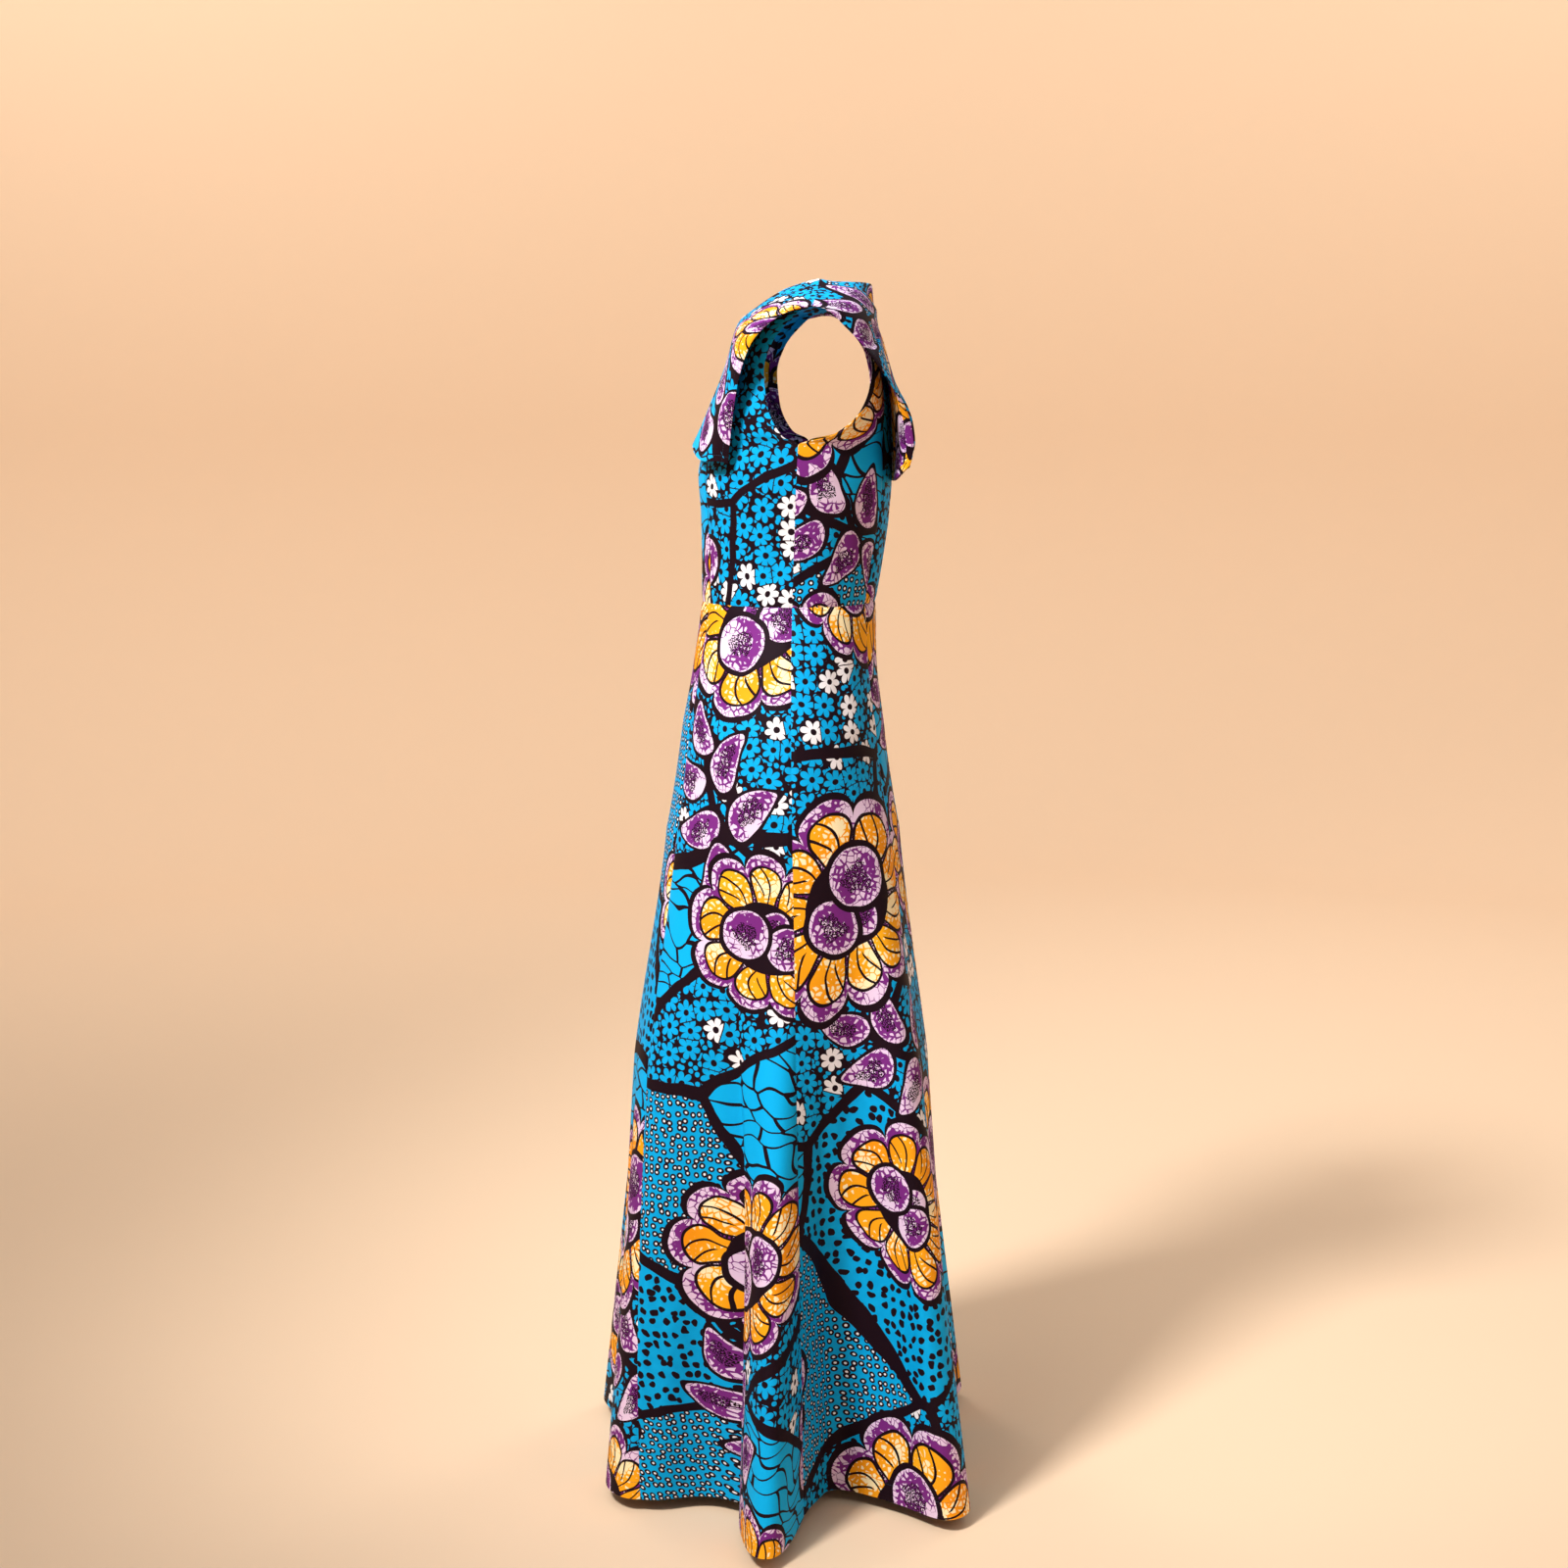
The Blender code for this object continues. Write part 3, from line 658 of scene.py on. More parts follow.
def wall_of_cloth(name, cuts, thickness, offset):
    """A closed wall from its cuts, joined where they share points. Also gives the width and length
    of cloth it is cut from, and its area."""
    points = np.concatenate([cut.points.reshape(-1, 3) for cut in cuts])
    outward = np.concatenate([cut.outward.reshape(-1, 3) for cut in cuts])
    flat = np.concatenate([cut.flat.reshape(-1, 2) for cut in cuts]) + offset
    squares = []
    start = 0
    for cut in cuts:
        rows, columns = cut.points.shape[:2]
        number = start + np.arange(rows * columns).reshape(rows, columns)
        corners = [number[:-1, :-1], number[:-1, 1:], number[1:, 1:], number[1:, :-1]]
        if np.sum(outward_of(cut.points, 1.0) * cut.outward) < 0:
            corners.reverse()
        squares.append(np.stack(corners, axis=-1).reshape(-1, 4))
        start += rows * columns
    squares = np.concatenate(squares)
    keys = np.round(points / SAME_POINT).astype(np.int64)
    _, kept, number = np.unique(keys, axis=0, return_index=True, return_inverse=True)
    squares = number.reshape(-1)[squares]
    points, outward, flat = points[kept], outward[kept], flat[kept]
    count = len(points)

    edges = np.concatenate([squares[:, [corner, (corner + 1) % 4]] for corner in range(4)])
    free = ~np.isin(edges[:, 0] * count + edges[:, 1], edges[:, 1] * count + edges[:, 0])
    start, end = edges[free].T
    rim = np.stack([end, start, start + count, end + count], axis=-1)
    faces = np.concatenate([squares, squares[:, ::-1] + count, rim])
    mesh = bpy.data.meshes.new(name)
    mesh.from_pydata(np.concatenate([points, points - outward * thickness]), [], faces.tolist())
    uv = mesh.uv_layers.new(name="cut")
    places = np.concatenate([flat, flat])[faces.reshape(-1)]
    uv.data.foreach_set("uv", places.astype(np.float32).reshape(-1))
    mesh.shade_smooth()
    mesh.set_sharp_from_angle(angle=SHARP_FROM)
    mesh.materials.append(cotton)
    piece = bpy.data.objects.new(name, mesh)
    bpy.context.scene.collection.objects.link(piece)
    triangles = points[squares[:, [0, 1, 2, 0, 2, 3]]].reshape(-1, 3, 3)
    sides = np.cross(triangles[:, 1] - triangles[:, 0], triangles[:, 2] - triangles[:, 0])
    return piece, np.ptp(flat, axis=0), float(np.linalg.norm(sides, axis=1).sum() / 2)


# Cloth turned to the inside along a panel's edge. layer: 0 lies on the panel, 1 on what layer 0
# turned in; stitched: how far in its row of stitches lies, 0 where none shows; stitched_from: the
# share of the edge where that row begins.
Turning = namedtuple("Turning", "edge width layer stitched stitched_from", defaults=(0.0, 0.0))
TURNED_CLOTH = 0.0007
TURNED_GAP = 0.0002
TURNED_ROWS = 4


def along_edge(cut, edge, reaches):
    """A panel's cloth at the given distances in from one of its edges, as a narrow cut."""
    grids = [np.moveaxis(grid, 1 if edge in ("start", "end") else 0, 0) for grid in cut]
    if edge in ("end", "last row"):
        grids = [grid[::-1] for grid in grids]
    run = run_along(grids[0], 0)
    found = []
    for grid in grids:
        lines = [[np.interp(reaches, run[:, spot], grid[:, spot, part]) for part in range(grid.shape[2])]
                 for spot in range(grid.shape[1])]
        found.append(np.array(lines).transpose(2, 0, 1))
    return Cut(found[0], unit(found[1]), found[2])


def turned_in(cut, turning):
    """The strip that is turned in along an edge, folded back so that its print runs the other way."""
    strip = along_edge(cut, turning.edge, np.linspace(TURNED_CLOTH, turning.width, TURNED_ROWS))
    under = CLOTH + TURNED_GAP + turning.layer * (TURNED_CLOTH + TURNED_GAP)
    return Cut(strip.points - strip.outward * under, strip.outward, 2 * strip.flat[:1] - strip.flat)


# Machine stitches: short beads of dark blue thread, end to end along a line of sewing.
STITCH_PITCH = 0.0032
STITCH_LENGTH = 0.0027
THREAD_WIDTH = 0.00038
THREAD_BLUE = (0.010, 0.060, 0.110, 1.0)
thread = bpy.data.materials.new("sewing_thread")
thread.use_nodes = True
thread_shader = thread.node_tree.nodes["Principled BSDF"]
thread_shader.inputs["Base Color"].default_value = THREAD_BLUE
thread_shader.inputs["Roughness"].default_value = 0.7

stitching = bpy.data.node_groups.new("stitching", "GeometryNodeTree")
stitching.interface.new_socket("Lines", in_out="INPUT", socket_type="NodeSocketGeometry")
for size in ("Pitch", "Length", "Thread"):
    stitching.interface.new_socket(size, in_out="INPUT", socket_type="NodeSocketFloat")
stitching.interface.new_socket("Stitches", in_out="OUTPUT", socket_type="NodeSocketGeometry")
sizes_in, stitches_out, line, spaced, bead, bead_size, shaped, tangent, turned, placed, real, dyed = [
    stitching.nodes.new(kind) for kind in (
        "NodeGroupInput", "NodeGroupOutput", "GeometryNodeMeshToCurve", "GeometryNodeResampleCurve",
        "GeometryNodeMeshUVSphere", "ShaderNodeCombineXYZ", "GeometryNodeTransform",
        "GeometryNodeInputTangent", "FunctionNodeAlignRotationToVector",
        "GeometryNodeInstanceOnPoints", "GeometryNodeRealizeInstances", "GeometryNodeSetMaterial")]
spaced.mode = "LENGTH"
bead.inputs["Segments"].default_value = 6
bead.inputs["Rings"].default_value = 4
bead.inputs["Radius"].default_value = 0.5
turned.axis = "Z"
dyed.inputs["Material"].default_value = thread
for made, used in (
        (sizes_in.outputs["Lines"], line.inputs["Mesh"]),
        (line.outputs["Curve"], spaced.inputs["Curve"]),
        (sizes_in.outputs["Pitch"], spaced.inputs["Length"]),
        (sizes_in.outputs["Thread"], bead_size.inputs["X"]),
        (sizes_in.outputs["Thread"], bead_size.inputs["Y"]),
        (sizes_in.outputs["Length"], bead_size.inputs["Z"]),
        (bead.outputs["Mesh"], shaped.inputs["Geometry"]),
        (bead_size.outputs[0], shaped.inputs["Scale"]),
        (tangent.outputs[0], turned.inputs["Vector"]),
        (spaced.outputs["Curve"], placed.inputs["Points"]),
        (shaped.outputs["Geometry"], placed.inputs["Instance"]),
        (turned.outputs[0], placed.inputs["Rotation"]),
        (placed.outputs["Instances"], real.inputs["Geometry"]),
        (real.outputs["Geometry"], dyed.inputs["Geometry"]),
        (dyed.outputs["Geometry"], stitches_out.inputs["Stitches"])):
    stitching.links.new(made, used)


def stitched(name, lines):
    """Rows of stitches along lines of points."""
    mesh = bpy.data.meshes.new(name)
    ends = np.cumsum([len(row) for row in lines])
    steps = [(spot, spot + 1) for spot in range(ends[-1] - 1) if spot + 1 not in ends]
    mesh.from_pydata(np.concatenate(lines), steps, [])
    piece = bpy.data.objects.new(name, mesh)
    bpy.context.scene.collection.objects.link(piece)
    sewing = piece.modifiers.new("sewing", "NODES")
    sewing.node_group = stitching
    chosen = {"Pitch": STITCH_PITCH, "Length": STITCH_LENGTH, "Thread": THREAD_WIDTH}
    for socket in stitching.interface.items_tree:
        if socket.name in chosen:
            sewing[socket.identifier] = chosen[socket.name]
    sewn = piece.evaluated_get(bpy.context.evaluated_depsgraph_get())
    sewn_mesh = bpy.data.meshes.new_from_object(sewn)
    piece.modifiers.clear()
    piece.data = sewn_mesh
    return piece


def sew_in(name, cuts, turnings, print_at):
    """One panel in place of the solid of the same name, with its turned edges and its stitches."""
    offset = np.array(print_at) / CM_IN_METRE
    strips = [turned_in(cut, turning) for cut in cuts for turning in turnings]
    on_it = [wall_of_cloth(name + "_turnings", strips, TURNED_CLOTH, offset)[0]]
    lines = []
    for turning in turnings:
        if not turning.stitched:
            continue
        for cut in cuts:
            row = along_edge(cut, turning.edge, [turning.stitched]).points[0]
            lines.append(row[round(turning.stitched_from * (len(row) - 1)):])
    if lines:
        on_it.append(stitched(name + "_stitches", lines))
    piece, spans, area = wall_of_cloth(name + "_cloth", cuts, CLOTH, offset)
    for part in [piece] + on_it:
        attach(part, "root")
    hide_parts(name)


def sew_in_both(name, on_fold, left, right, turnings, print_at):
    """A panel that is cut on the fold as one piece, or else a pair of panels."""
    if on_fold:
        sew_in(name, [left, right], turnings, print_at[name])
    else:
        sew_in(name + "_L", [left], turnings, print_at[name + "_L"])
        sew_in(name + "_R", [right], turnings, print_at[name + "_R"])


# Which edges of each kind of bodice panel are turned in: its seams, and the armhole, which is
# stitched down.
SEAM_TURNING = 0.013
WAIST_SEAM = Turning("first row", SEAM_TURNING, 1)
START_SEAM = Turning("start", SEAM_TURNING, 0)
END_SEAM = Turning("end", SEAM_TURNING, 0)
ARMHOLE = Turning("end", SEAM_TURNING, 0, 0.007, UNDERARM)
BODICE_TURNINGS = {
    "bodice_centre_front": (WAIST_SEAM, END_SEAM),
    "bodice_centre_back": (WAIST_SEAM, START_SEAM, END_SEAM),
    "bodice_side_front": (WAIST_SEAM, START_SEAM, ARMHOLE),
    "bodice_side_back": (WAIST_SEAM, START_SEAM, ARMHOLE),
}

ups = np.linspace(0, 1, BODICE_ROWS + 1)
centre_across = stops(BODICE_COLUMNS["centre"], False, True) * PRINCESS_SHARE
side_across = PRINCESS_SHARE + stops(BODICE_COLUMNS["side"], True, True) * (1 - PRINCESS_SHARE)
for quarter_name, levels, way in (("front", BODICE_FRONT, 1.0), ("back", BODICE_BACK, -1.0)):
    for panel, across in (("centre", centre_across), ("side", side_across)):
        points, outward = quarter(levels, way, across, ups)
        middle = 0 if panel == "centre" else len(across) // 2
        left = Cut(points, outward, flat_places(points, middle, way))
        ends = {"first row", "last row"}
        if panel == "side" or quarter_name == "back":
            ends.add("start")
        if panel == "centre":
            ends.add("end")
        left, right = [sunk(creased(cut, BODICE_CREASES), ends) for cut in (left, on_the_right(left))]
        name = f"bodice_{panel}_{quarter_name}"
        sew_in_both(name, name == "bodice_centre_front", left, right,
                    BODICE_TURNINGS[name], BODICE_PRINT_AT)


# ==== The cape collar =========================================================================
# A wide flat collar cut as one front on the fold and two backs. It is sewn into the neckline, at the
# shoulders and down the centre back, stands off the shoulders over the arms, and hangs free at its
# hem and its two outer edges, which are turned under and stitched.

COLLAR_ROWS = 56
COLLAR_COLUMNS = 44
COLLAR_FREE_EDGES = (Turning("end", 0.011, 0, 0.008), Turning("first row", 0.011, 1, 0.008))
COLLAR_TURNINGS = {"front": COLLAR_FREE_EDGES, "back": (START_SEAM,) + COLLAR_FREE_EDGES}
COLLAR_SEAMS = {"front": {"last row"}, "back": {"last row", "start"}}
COLLAR_PRINT_AT = {
    "collar_front": (155, 166), "collar_back_L": (211, 49), "collar_back_R": (377, 171),
}
COLLAR_SHOULDER = Level(0.099, 0.000, 0.003, 0.212, -0.005, -0.033, 0.000, 0.0, 0)
COLLAR_FRONT = (
    Level(0.000, -0.166, -0.203, 0.132, -0.112, -0.226, 0.000, 0.012, 1),
    Level(0.000, -0.154, -0.178, 0.140, -0.109, -0.199, 0.000, 0.008, 1),
    Level(0.000, -0.142, -0.150, 0.148, -0.105, -0.170, 0.000, 0.004, 1),
    Level(0.000, -0.128, -0.118, 0.157, -0.100, -0.139, 0.000, 0.002, 1),
    Level(0.000, -0.116, -0.085, 0.169, -0.092, -0.107, 0.001, 0.000, 1),
    Level(0.000, -0.107, -0.049, 0.184, -0.077, -0.075, 0.002, 0.000, 0),
    Level(0.048, -0.085, -0.034, 0.197, -0.055, -0.054, 0.002, 0.000, 0),
    Level(0.083, -0.043, -0.010, 0.207, -0.030, -0.040, 0.001, 0.000, 0),
    COLLAR_SHOULDER,
)
COLLAR_BACK = (
    Level(0.000, 0.0925, -0.250, 0.116, 0.113, -0.230, 0.000, 0.002, 1),
    Level(0.000, 0.0920, -0.215, 0.126, 0.119, -0.203, 0.001, 0.000, 1),
    Level(0.000, 0.0894, -0.175, 0.137, 0.116, -0.178, 0.002, 0.000, 1),
    Level(0.000, 0.0848, -0.135, 0.150, 0.108, -0.155, 0.003, 0.000, 1),
    Level(0.000, 0.0785, -0.095, 0.163, 0.096, -0.134, 0.004, 0.000, 1),
    Level(0.000, 0.0730, -0.064, 0.176, 0.080, -0.112, 0.004, 0.000, 1),
    Level(0.000, 0.0700, -0.041, 0.188, 0.060, -0.085, 0.003, 0.000, 0),
    Level(0.052, 0.0685, -0.031, 0.199, 0.036, -0.060, 0.002, 0.000, 0),
    Level(0.087, 0.0490, -0.008, 0.208, 0.016, -0.041, 0.001, 0.000, 0),
    COLLAR_SHOULDER,
)

across = stops(COLLAR_COLUMNS, False, False)
for quarter_name, levels, way in (("front", COLLAR_FRONT, 1.0), ("back", COLLAR_BACK, -1.0)):
    points, outward = quarter(levels, way, across, np.linspace(0, 1, COLLAR_ROWS + 1))
    middle = 0 if quarter_name == "front" else len(across) // 3
    left = Cut(points, outward, flat_places(points, middle, way))
    left = sunk(left, COLLAR_SEAMS[quarter_name])
    sew_in_both("collar_" + quarter_name, quarter_name == "front", left, on_the_right(left),
                COLLAR_TURNINGS[quarter_name], COLLAR_PRINT_AT)


# ==== The skirt ===============================================================================
# Seven flared panels of the printed cotton, seamed from the waist to the hem and sewn to the bodice
# at the waist. It falls smoothly over the hips and opens below them into deep flutes, and its hem is
# turned up and stitched.

HEM_Z = -1.545

# A ring is a level cut through the skirt without its folds: an oval with its own depth in front and
# behind. squareness: 2 is an ellipse, and more is squarer.
Ring = namedtuple("Ring", "z half_width front_y back_y side_y squareness")
SKIRT_RINGS = (
    Ring(WAIST_Z, WAIST_HALF_WIDTH, WAIST_FRONT_Y, WAIST_BACK_Y, WAIST_SIDE_Y, 2.0),
    Ring(-0.470, 0.150, -0.164, 0.071, -0.034, 2.05),
    Ring(-0.560, 0.173, -0.180, 0.081, -0.036, 2.1),
    Ring(-0.700, 0.189, -0.202, 0.102, -0.038, 2.15),
    Ring(-1.000, 0.206, -0.246, 0.141, -0.041, 2.3),
    Ring(HEM_Z, 0.225, -0.276, 0.181, -0.045, 2.6),
)

# A fold is a flute, or a trough where its reach is negative. angle: degrees from the front towards
# the wearer's left; reach: how far out it stands at the hem; before and after: its half-widths in
# degrees, nearer the front and nearer the back; begins: the height it opens from; growth: more
# opens it later.
Fold = namedtuple("Fold", "name angle reach before after begins growth")
SKIRT_FOLDS = (
    Fold("left front corner", 44, 0.040, 17, 12, -0.70, 1.0),
    Fold("left side trough", 70, -0.012, 8, 6, -0.85, 1.2),
    Fold("left side flare", 89, 0.162, 8.2, 7.2, -0.80, 1.4),
    Fold("left back trough", 112, -0.052, 9, 10, -0.75, 1.3),
    Fold("left back flare", 132, 0.096, 9.5, 15, -0.62, 1.1),
    Fold("right front corner", -36, 0.074, 14, 16, -0.62, 1.0),
    Fold("right side trough", -66, -0.016, 7, 8, -0.85, 1.2),
    Fold("right side flare", -91, 0.138, 8.6, 9.4, -0.80, 1.4),
    Fold("right back trough", -113, -0.044, 9, 9, -0.75, 1.3),
    Fold("right back flare", -133, 0.092, 15, 10, -0.62, 1.1),
)
FOLD_SHARPNESS = 2.3     # 2 is a bell curve; more is flatter on top and steeper at the sides

SIDE_SEAM_AT_WAIST = 90       # the skirt's seams, in degrees from the centre front
FRONT_SEAM_AT_HEM = {"L": 50, "R": 42}
SIDE_SEAM_AT_HEM = {"L": 98, "R": 100}
BACK_SEAM_AT_HEM = {"L": 155, "R": 155}
SKIRT_ROWS = 170
Panel = namedtuple("Panel", "name columns print_at")
SKIRT_PANELS = (
    Panel("centre_back_R", 34, (497, 444)),
    Panel("side_back_R", 66, (599, 453)),
    Panel("side_front_R", 72, (701, 407)),
    Panel("centre_front", 60, (62, 410)),
    Panel("side_front_L", 72, (427, 352)),
    Panel("side_back_L", 66, (589, 289)),
    Panel("centre_back_L", 34, (395, 447)),
)
SKIRT_TURNINGS = (WAIST_SEAM, START_SEAM, END_SEAM, Turning("last row", 0.025, 1, 0.022))
# A crease that ends below the hem is still deep where the hem cuts it.
SKIRT_CREASES = (
    Crease(66, -0.42, 63, -0.52, 0.010, 0.0024),
    Crease(112, -0.42, 117, -0.56, 0.012, 0.0026),
    Crease(-64, -0.42, -60, -0.54, 0.011, 0.0024),
    Crease(-113, -0.42, -118, -0.55, 0.012, 0.0026),
    Crease(69, -0.88, 76, -2.00, 0.011, 0.0130, 0.0150),
    Crease(60, -0.95, 61, -2.10, 0.034, 0.0150),
    Crease(50, -1.06, 48, -1.70, 0.014, 0.0050),
    Crease(119, -0.80, 121, -2.00, 0.032, 0.0170),
    Crease(20, -0.98, 22, -1.56, 0.022, 0.0050),
    Crease(103, -0.95, 102, -1.40, 0.013, 0.0050),
    Crease(123, -1.05, 121, -1.56, 0.016, 0.0050),
    Crease(-18, -0.92, -17, -1.56, 0.022, 0.0050),
    Crease(-52, -1.00, -54, -1.56, 0.016, 0.0050),
    Crease(-103, -0.98, -101, -1.42, 0.013, 0.0050),
    Crease(-124, -1.08, -122, -1.56, 0.016, 0.0050),
)


def ring_radius(ring, angle):
    """Distance from the ring's middle to its edge at an angle from the centre front."""
    depth = np.where(np.cos(angle) > 0, ring.side_y - ring.front_y, ring.back_y - ring.side_y)
    n = ring.squareness
    return ((np.abs(np.sin(angle)) / ring.half_width) ** n
            + (np.abs(np.cos(angle)) / depth) ** n) ** (-1.0 / n)


def ring_at(z):
    """The skirt's ring at a height, between the rows of SKIRT_RINGS."""
    heights = np.array([ring.z for ring in SKIRT_RINGS])
    places = np.interp(-z, -heights, np.linspace(0, 1, len(heights)))
    return Ring(*np.moveaxis(through(SKIRT_RINGS, places), -1, 0))


def skirt_at(angle, z):
    """Point of the skirt's outer face at an angle (radians) and a height."""
    ring = ring_at(z)
    radius = ring_radius(ring, angle)
    for fold in SKIRT_FOLDS:
        away = np.degrees(angle) - fold.angle
        width = np.where(away < 0, fold.before, fold.after)
        if fold.angle < 0:
            width = np.where(away < 0, fold.after, fold.before)
        opened = np.clip((fold.begins - z) / (fold.begins - HEM_Z), 0.0, 1.0) ** fold.growth
        radius = radius + fold.reach * opened * np.exp(-np.abs(away / width) ** FOLD_SHARPNESS)
    return np.stack([radius * np.sin(angle), ring.side_y - radius * np.cos(angle), z], axis=-1)


ANGLES = np.linspace(0, math.pi, 4 * 180 + 1)    # every quarter of a degree


def lengths_round(side, z):
    """Share of the cloth used up from the centre front to each of ANGLES, on one side."""
    points = skirt_at(side * ANGLES, np.full_like(ANGLES, z))
    run = np.concatenate([[0.0], np.cumsum(np.linalg.norm(np.diff(points, axis=0), axis=1))])
    return run / run[-1]


SHARES = {(side, z): lengths_round(side, z) for side in (1, -1) for z in (WAIST_Z, HEM_Z)}


def skirt_surface(share, down):
    """Skirt by cloth: share -1..1 from centre back round to centre back, down 0 to 1."""
    z = WAIST_Z + (HEM_Z - WAIST_Z) * down
    angle = np.zeros_like(share)
    for side in (1, -1):
        here = np.abs(share)
        at_waist = np.interp(here, SHARES[side, WAIST_Z], ANGLES)
        at_hem = np.interp(here, SHARES[side, HEM_Z], ANGLES)
        mixed = at_waist + (at_hem - at_waist) * down
        angle = np.where(share * side > 0, side * mixed, angle)
    return skirt_at(angle, z)


def skirt_seam(side, waist_angle, hem_angle):
    """Share of a skirt seam at the waist and at the hem, from its angles in degrees."""
    at_waist = np.interp(math.radians(waist_angle), ANGLES, SHARES[side, WAIST_Z])
    at_hem = np.interp(math.radians(hem_angle), ANGLES, SHARES[side, HEM_Z])
    return side * at_waist, side * at_hem


def princess_angle(depth):
    """Angle of a princess seam at the waist, where bodice and skirt seams meet."""
    turn = PRINCESS_SHARE * math.pi / 2
    return math.degrees(math.atan2(WAIST_HALF_WIDTH * math.sin(turn), depth * math.cos(turn)))


front_turn = princess_angle(WAIST_SIDE_Y - WAIST_FRONT_Y)
back_turn = 180 - princess_angle(WAIST_BACK_Y - WAIST_SIDE_Y)
seams = [(-1.0, -1.0), skirt_seam(-1, back_turn, BACK_SEAM_AT_HEM["R"]),
         skirt_seam(-1, SIDE_SEAM_AT_WAIST, SIDE_SEAM_AT_HEM["R"]),
         skirt_seam(-1, front_turn, FRONT_SEAM_AT_HEM["R"]),
         skirt_seam(1, front_turn, FRONT_SEAM_AT_HEM["L"]),
         skirt_seam(1, SIDE_SEAM_AT_WAIST, SIDE_SEAM_AT_HEM["L"]),
         skirt_seam(1, back_turn, BACK_SEAM_AT_HEM["L"]), (1.0, 1.0)]
downs = np.linspace(0, 1, SKIRT_ROWS + 1)[:, None]
for panel, first, last in zip(SKIRT_PANELS, seams, seams[1:]):
    start, end = [seam[0] + (seam[1] - seam[0]) * downs for seam in (first, last)]
    share = start + (end - start) * stops(panel.columns, True, True)
    points = skirt_surface(share, np.broadcast_to(downs, share.shape))
    outward = outward_of(points, -1.0)
    outward[0, :, 2] = 0    # the waist edge faces level
    flat = flat_places(points, share.shape[1] // 2, 1.0) * np.array([1.0, -1.0])
    cut = creased(Cut(points, unit(outward), flat), SKIRT_CREASES)
    cut = sunk(cut, {"start", "end", "first row"})
    sew_in("skirt_" + panel.name, [cut], SKIRT_TURNINGS, panel.print_at)


# ==== Floor, light and camera =================================================================
# A round bowl of plain pale paper about the dress, its floor curving up into a low wall, lit softly
# from above and mostly from the wearer's front left.

PAPER = (0.87, 0.64, 0.44, 1.0)
FLOOR_Z = -1.562
FLOOR_RINGS = (0.001, 1.5, 3.0)
FLOOR_RADIUS = 4.6
CURVE_RADIUS = 1.3            # how gently the floor turns up
CURVE_STEPS = 16
WALL_TOP = 1.7
BOWL_STEPS = 96               # steps round it
ROOM_LIGHT = (0.93, 0.97, 1.0, 1.0)
ROOM_STRENGTH = 0.22

paper = bpy.data.materials.new("backdrop_paper")
paper.use_nodes = True
paper_shader = paper.node_tree.nodes["Principled BSDF"]
paper_shader.inputs["Base Color"].default_value = PAPER
paper_shader.inputs["Roughness"].default_value = 0.9
paper_shader.inputs["Specular IOR Level"].default_value = 0.1

bend = np.linspace(0, math.pi / 2, CURVE_STEPS + 1)
reaches = np.concatenate([FLOOR_RINGS, FLOOR_RADIUS + CURVE_RADIUS * np.sin(bend),
                          [FLOOR_RADIUS + CURVE_RADIUS]])
heights = np.concatenate([[FLOOR_Z] * len(FLOOR_RINGS),
                          FLOOR_Z + CURVE_RADIUS * (1 - np.cos(bend)), [WALL_TOP]])
round_turns = np.linspace(0, 2 * math.pi, BOWL_STEPS, endpoint=False)
bowl = np.stack([np.outer(reaches, np.cos(round_turns)), np.outer(reaches, np.sin(round_turns)),
                 np.repeat(heights[:, None], BOWL_STEPS, axis=1)], axis=-1)
number = np.arange(len(reaches) * BOWL_STEPS).reshape(-1, BOWL_STEPS)
following = np.roll(number, -1, axis=1)
tiles = np.stack([number[:-1], number[1:], following[1:], following[:-1]], axis=-1).reshape(-1, 4)
backdrop_mesh = bpy.data.meshes.new("backdrop")
backdrop_mesh.from_pydata(bowl.reshape(-1, 3), [], tiles.tolist())
backdrop_mesh.shade_smooth()
backdrop_mesh.materials.append(paper)
backdrop = bpy.data.objects.new("backdrop", backdrop_mesh)
bpy.context.scene.collection.objects.link(backdrop)

world = bpy.data.worlds.new("studio")
world.use_nodes = True
world.node_tree.nodes["Background"].inputs["Color"].default_value = ROOM_LIGHT
world.node_tree.nodes["Background"].inputs["Strength"].default_value = ROOM_STRENGTH
bpy.context.scene.world = world

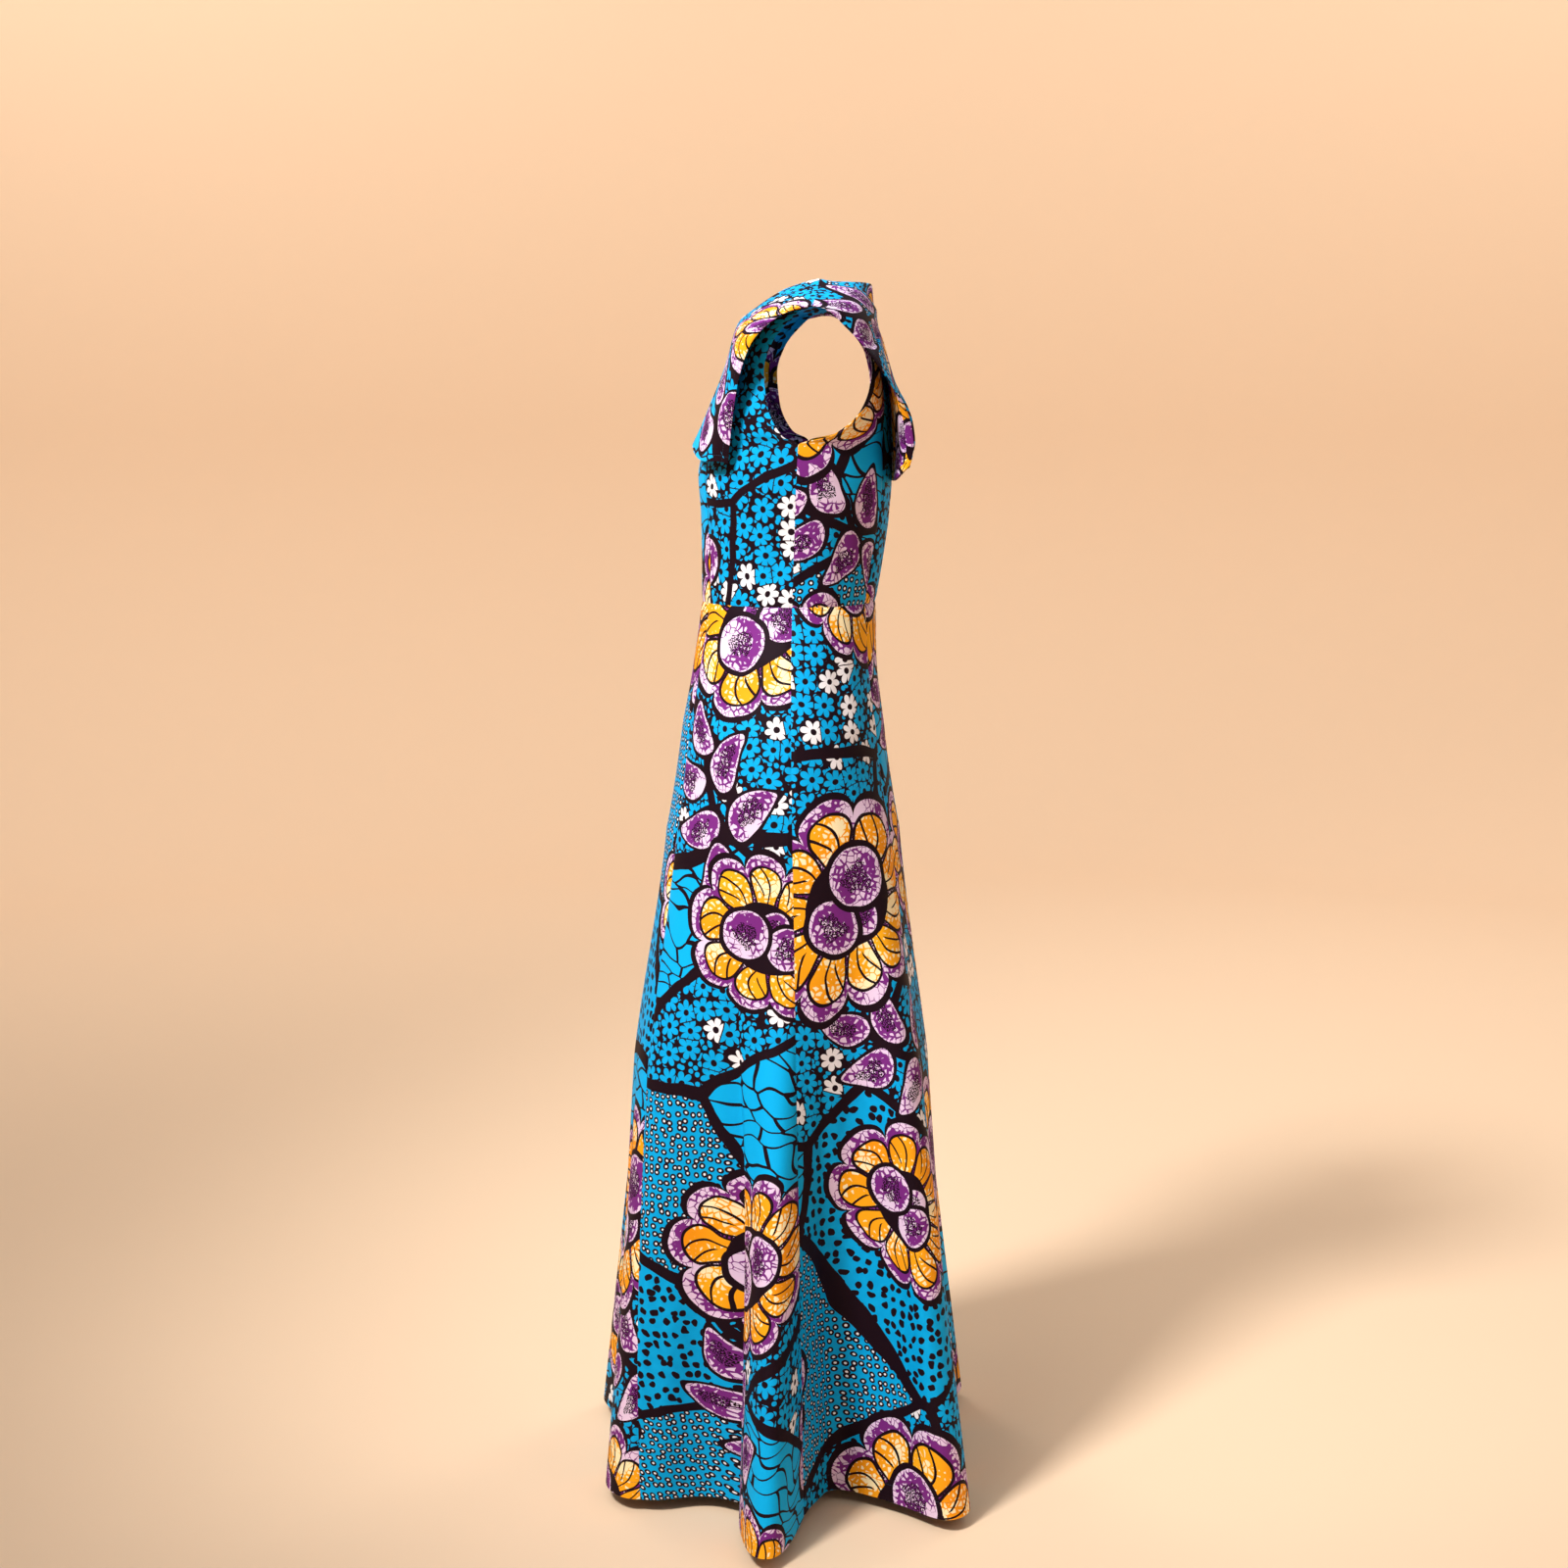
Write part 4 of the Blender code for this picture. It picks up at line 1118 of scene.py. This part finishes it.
# Each lamp is a round soft box: where it stands, what it is turned to, how wide and how strong.
# Where it has a cone, it is a spotlight of that angle, brightest in its middle.
Lamp = namedtuple("Lamp", "name place aim size power cone")
CHEST = (0.0, -0.02, -0.25)
LAMPS = (
    Lamp("key", (2.1, -1.6, 2.3), CHEST, 0.35, 860.0, 48),
    Lamp("soft_key", (2.2, -1.2, 2.2), CHEST, 1.2, 26.0, None),
    Lamp("fill", (2.6, 2.6, 1.4), CHEST, 1.8, 14.0, None),
    Lamp("top", (-0.3, -0.2, 2.6), CHEST, 1.4, 8.0, None),
    Lamp("back_fill", (-2.4, 2.2, 1.8), CHEST, 1.6, 9.0, None),
    Lamp("wall_left", (1.5, -3.2, 3.0), (2.5, -6.0, -0.6), 1.6, 26.0, None),
    Lamp("wall_right", (0.0, 3.4, 3.0), (0.0, 6.0, -0.6), 1.6, 20.0, None),
    Lamp("wall_near", (3.3, 0.4, 3.0), (6.0, 0.4, -0.6), 1.6, 26.0, None),
    Lamp("wall_front", (-3.0, -2.0, 3.0), (-6.0, -1.2, -0.6), 1.6, 88.0, None),
    Lamp("wall_back", (-3.0, 2.0, 3.0), (-6.0, 1.2, -0.6), 1.6, 76.0, None),
)
for lamp in LAMPS:
    light = bpy.data.lights.new(lamp.name, "SPOT" if lamp.cone else "AREA")
    light.energy = lamp.power
    if lamp.cone:
        light.shadow_soft_size = lamp.size
        light.spot_size = math.radians(lamp.cone)
        light.spot_blend = 1.0
    else:
        light.shape = "DISK"
        light.size = lamp.size
    holder = bpy.data.objects.new(lamp.name, light)
    holder.location = lamp.place
    aim = np.array(lamp.aim) - np.array(lamp.place)
    holder.rotation_euler = (math.acos(-aim[2] / np.linalg.norm(aim)), 0.0,
                             math.atan2(aim[1], aim[0]) - math.pi / 2)
    bpy.context.scene.collection.objects.link(holder)

# The camera looks at the wearer's left side, a little from behind and down.
CAMERA_DISTANCE = 3.62
CAMERA_TURN = math.radians(3.0)
CAMERA_ASIDE = -0.048906
CAMERA_Z = -0.137446
FOCAL_SHARE = 2850 / 1600     # focal length as a share of the picture's width
EYE_LEVEL = 400 / 1600        # how far above the picture's middle eye level lies, as such a share
CAMERA_DOWN = math.atan(EYE_LEVEL / FOCAL_SHARE)
lens = bpy.data.cameras.new("camera")
lens.sensor_fit = "HORIZONTAL"
lens.lens = lens.sensor_width * FOCAL_SHARE
camera = bpy.data.objects.new("camera", lens)
turn_x, turn_y = math.cos(CAMERA_TURN), math.sin(CAMERA_TURN)
camera.location = (CAMERA_DISTANCE * turn_x - CAMERA_ASIDE * turn_y,
                   CAMERA_DISTANCE * turn_y + CAMERA_ASIDE * turn_x, CAMERA_Z)
camera.rotation_euler = (math.pi / 2 - CAMERA_DOWN, 0.0, CAMERA_TURN + math.pi / 2)
bpy.context.scene.collection.objects.link(camera)
bpy.context.scene.camera = camera
bpy.context.scene.view_settings.view_transform = "Standard"
